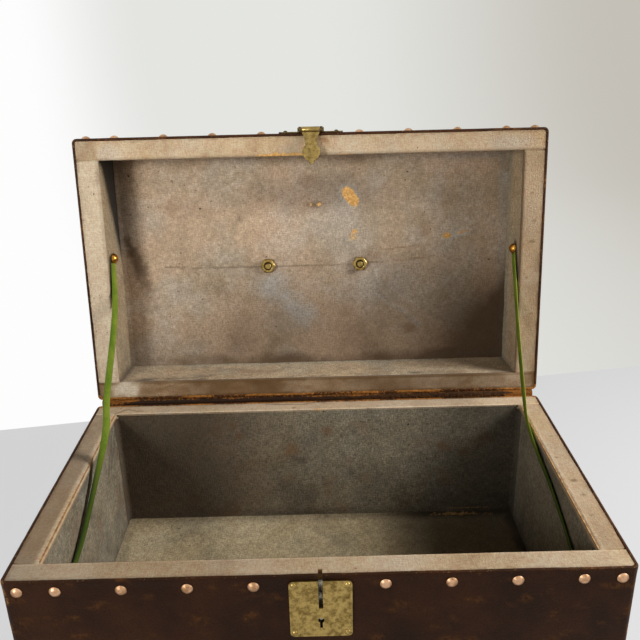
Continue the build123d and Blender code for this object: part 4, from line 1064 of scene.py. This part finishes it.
# Camera, as fitted to the photograph: focal length in pixels of a picture 640 wide, turns in radians, place
# in millimetres
FOCAL, PICTURE, SENSOR = 744.15, 640, 36.0
PITCH, YAW, ROLL = 0.37747, 0.00086, 0.02544
PLACE = (4.81, -487.64, 445.07)
camera = placed("camera", bpy.data.cameras.new("camera"))
camera.data.sensor_width = SENSOR
camera.data.lens = FOCAL / PICTURE * SENSOR
camera.data.clip_start, camera.data.clip_end = 0.01, 50
turned = Matrix.Rotation(YAW, 3, "Z") @ Matrix.Rotation(-PITCH, 3, "X") @ Matrix.Rotation(ROLL, 3, "Y")
look = turned @ Matrix(((1, 0, 0), (0, 0, -1), (0, 1, 0)))
camera.matrix_world = Matrix.Translation([0.001 * v for v in PLACE]) @ look.to_4x4()
bpy.context.scene.camera = camera


# Floor, backdrop and light

# Where the floor ends behind the box, in millimetres at x = 0, and how that line slants
WALL_FOOT, WALL_SLOPE = 363.0, 0.162


def seen_rays(tree):
    """1 for camera, glossy and transmission rays, 0 for the rays that carry light onto other surfaces."""
    rays = add(tree, "LightPath").outputs
    seen = add(tree, "Math", {0: rays["Is Camera Ray"], 1: rays["Is Glossy Ray"]}, operation="MAXIMUM")
    return add(tree, "Math", {0: seen, 1: rays["Is Transmission Ray"]}, operation="MAXIMUM")


def studio_paper():
    """Matt studio paper: a pale grey floor up to a line behind the box, and a paler wall past it, white at
    the left and grey at the right; both grow paler towards the left, a painted fall of light, which on the
    floor also lifts the box's shadow. Camera, glossy and transmission rays see the wall at its own colour;
    the floor keeps faint shadows."""
    material, tree, shader, where = blank("studio_paper", {"Base Color": "#DEDEDF", "Roughness": 0.9})
    spot_x, spot_y = add(tree, "SeparateXYZ", {0: where}).outputs[:2]
    line_y = add(tree, "Math", {0: spot_x, 1: -WALL_SLOPE, 2: spot_y}, operation="MULTIPLY_ADD")
    beyond = add(tree, "Math", {0: line_y, 1: WALL_FOOT * 0.001}, operation="GREATER_THAN")
    # Painted light: a slanted fall from pale at the left, on the wall and the floor.
    slant = add(tree, "Math", {0: spot_y, 1: 0.39, 2: spot_x}, operation="MULTIPLY_ADD")
    painted_light_from_left = add(tree, "MapRange", {0: slant, 1: -0.15, 2: 0.32}, interpolation_type="SMOOTHSTEP")
    to_right = add(tree, "MapRange", {0: spot_x, 1: 0.0, 2: 1.1}, interpolation_type="SMOOTHSTEP")
    wall = add(tree, "Mix", {0: painted_light_from_left, 6: "#FDFDFD", 7: "#E4E5E1"}, **COLOUR)
    wall = add(tree, "Mix", {0: to_right, 6: wall, 7: "#C4C0B7"}, **COLOUR)
    near = add(tree, "Mix", {0: painted_light_from_left, 6: "#F1F1F2", 7: "#E0E0E1"}, **COLOUR)
    colour = add(tree, "Mix", {0: beyond, 6: near, 7: wall}, **COLOUR)
    share = add(tree, "MapRange", {0: beyond, 3: 0.7, 4: 1.0})
    share = add(tree, "Math", {0: share, 1: seen_rays(tree)}, operation="MULTIPLY")
    glow = add(tree, "Emission", {0: colour, 1: 1.0})
    shown = add(tree, "MixShader", {0: share, 1: shader, 2: glow})
    tree.links.new(shown.outputs[0], tree.nodes["Material Output"].inputs[0])
    return material


def sweep():
    """A floor that curves up into a backdrop 2.4 m behind."""
    turn = np.linspace(0.1, math.pi / 2, 12)
    profile = [(-4.0, 0.0), (1.6, 0.0), *zip(1.6 + 0.8 * np.sin(turn), 0.8 - 0.8 * np.cos(turn)), (2.4, 3.2)]
    x = np.array([-4.0, 4.0])
    p = np.array([[(a * 1000, y * 1000, z * 1000) for y, z in profile] for a in x])
    made = grid("backdrop", p, studio_paper(), None, np.zeros((2, len(profile), 2)), flip=True)


sweep()


def lamp(name, turn, rise, size, power, target=(0.0, 0.03, 0.13), away=0.85, spread=180.0):
    """A square soft box of that size in metres and power in watts, turned to the right of the front and
    raised by those degrees about the target, and aimed at it. A narrow spread, in degrees, stands for a
    grid on it."""
    a, e = math.radians(turn), math.radians(rise)
    target = Vector(target)
    place = target + away * Vector((math.sin(a) * math.cos(e), -math.cos(a) * math.cos(e), math.sin(e)))
    light = bpy.data.lights.new(name, "AREA")
    light.shape = "SQUARE"
    light.size = size
    light.energy = power
    light.spread = math.radians(spread)
    aim = (target - place).to_track_quat("-Z", "Y").to_matrix().to_4x4()
    placed(name, light).matrix_world = Matrix.Translation(place) @ aim


lamp("right_soft_box", 78, 27, 0.3, 5.3)
lamp("far_right_soft_box", 92, 36, 0.3, 2.6)
lamp("left_soft_box", -42, 16, 0.25, 1.5)
lamp("lid_soft_box", -28, 13, 0.16, 0.22, (-0.09, 0.18, 0.30), 0.9, 40.0)

world = bpy.data.worlds.new("studio")
bpy.context.scene.world = world
world.use_nodes = True
tree = world.node_tree
tree.nodes.clear()
strength = add(tree, "MapRange", {0: seen_rays(tree), 3: 0.04, 4: 1.0})
add(tree, "OutputWorld", {0: add(tree, "Background", {0: "#F2F2F0", 1: strength})})
bpy.context.scene.view_settings.view_transform = "Standard"
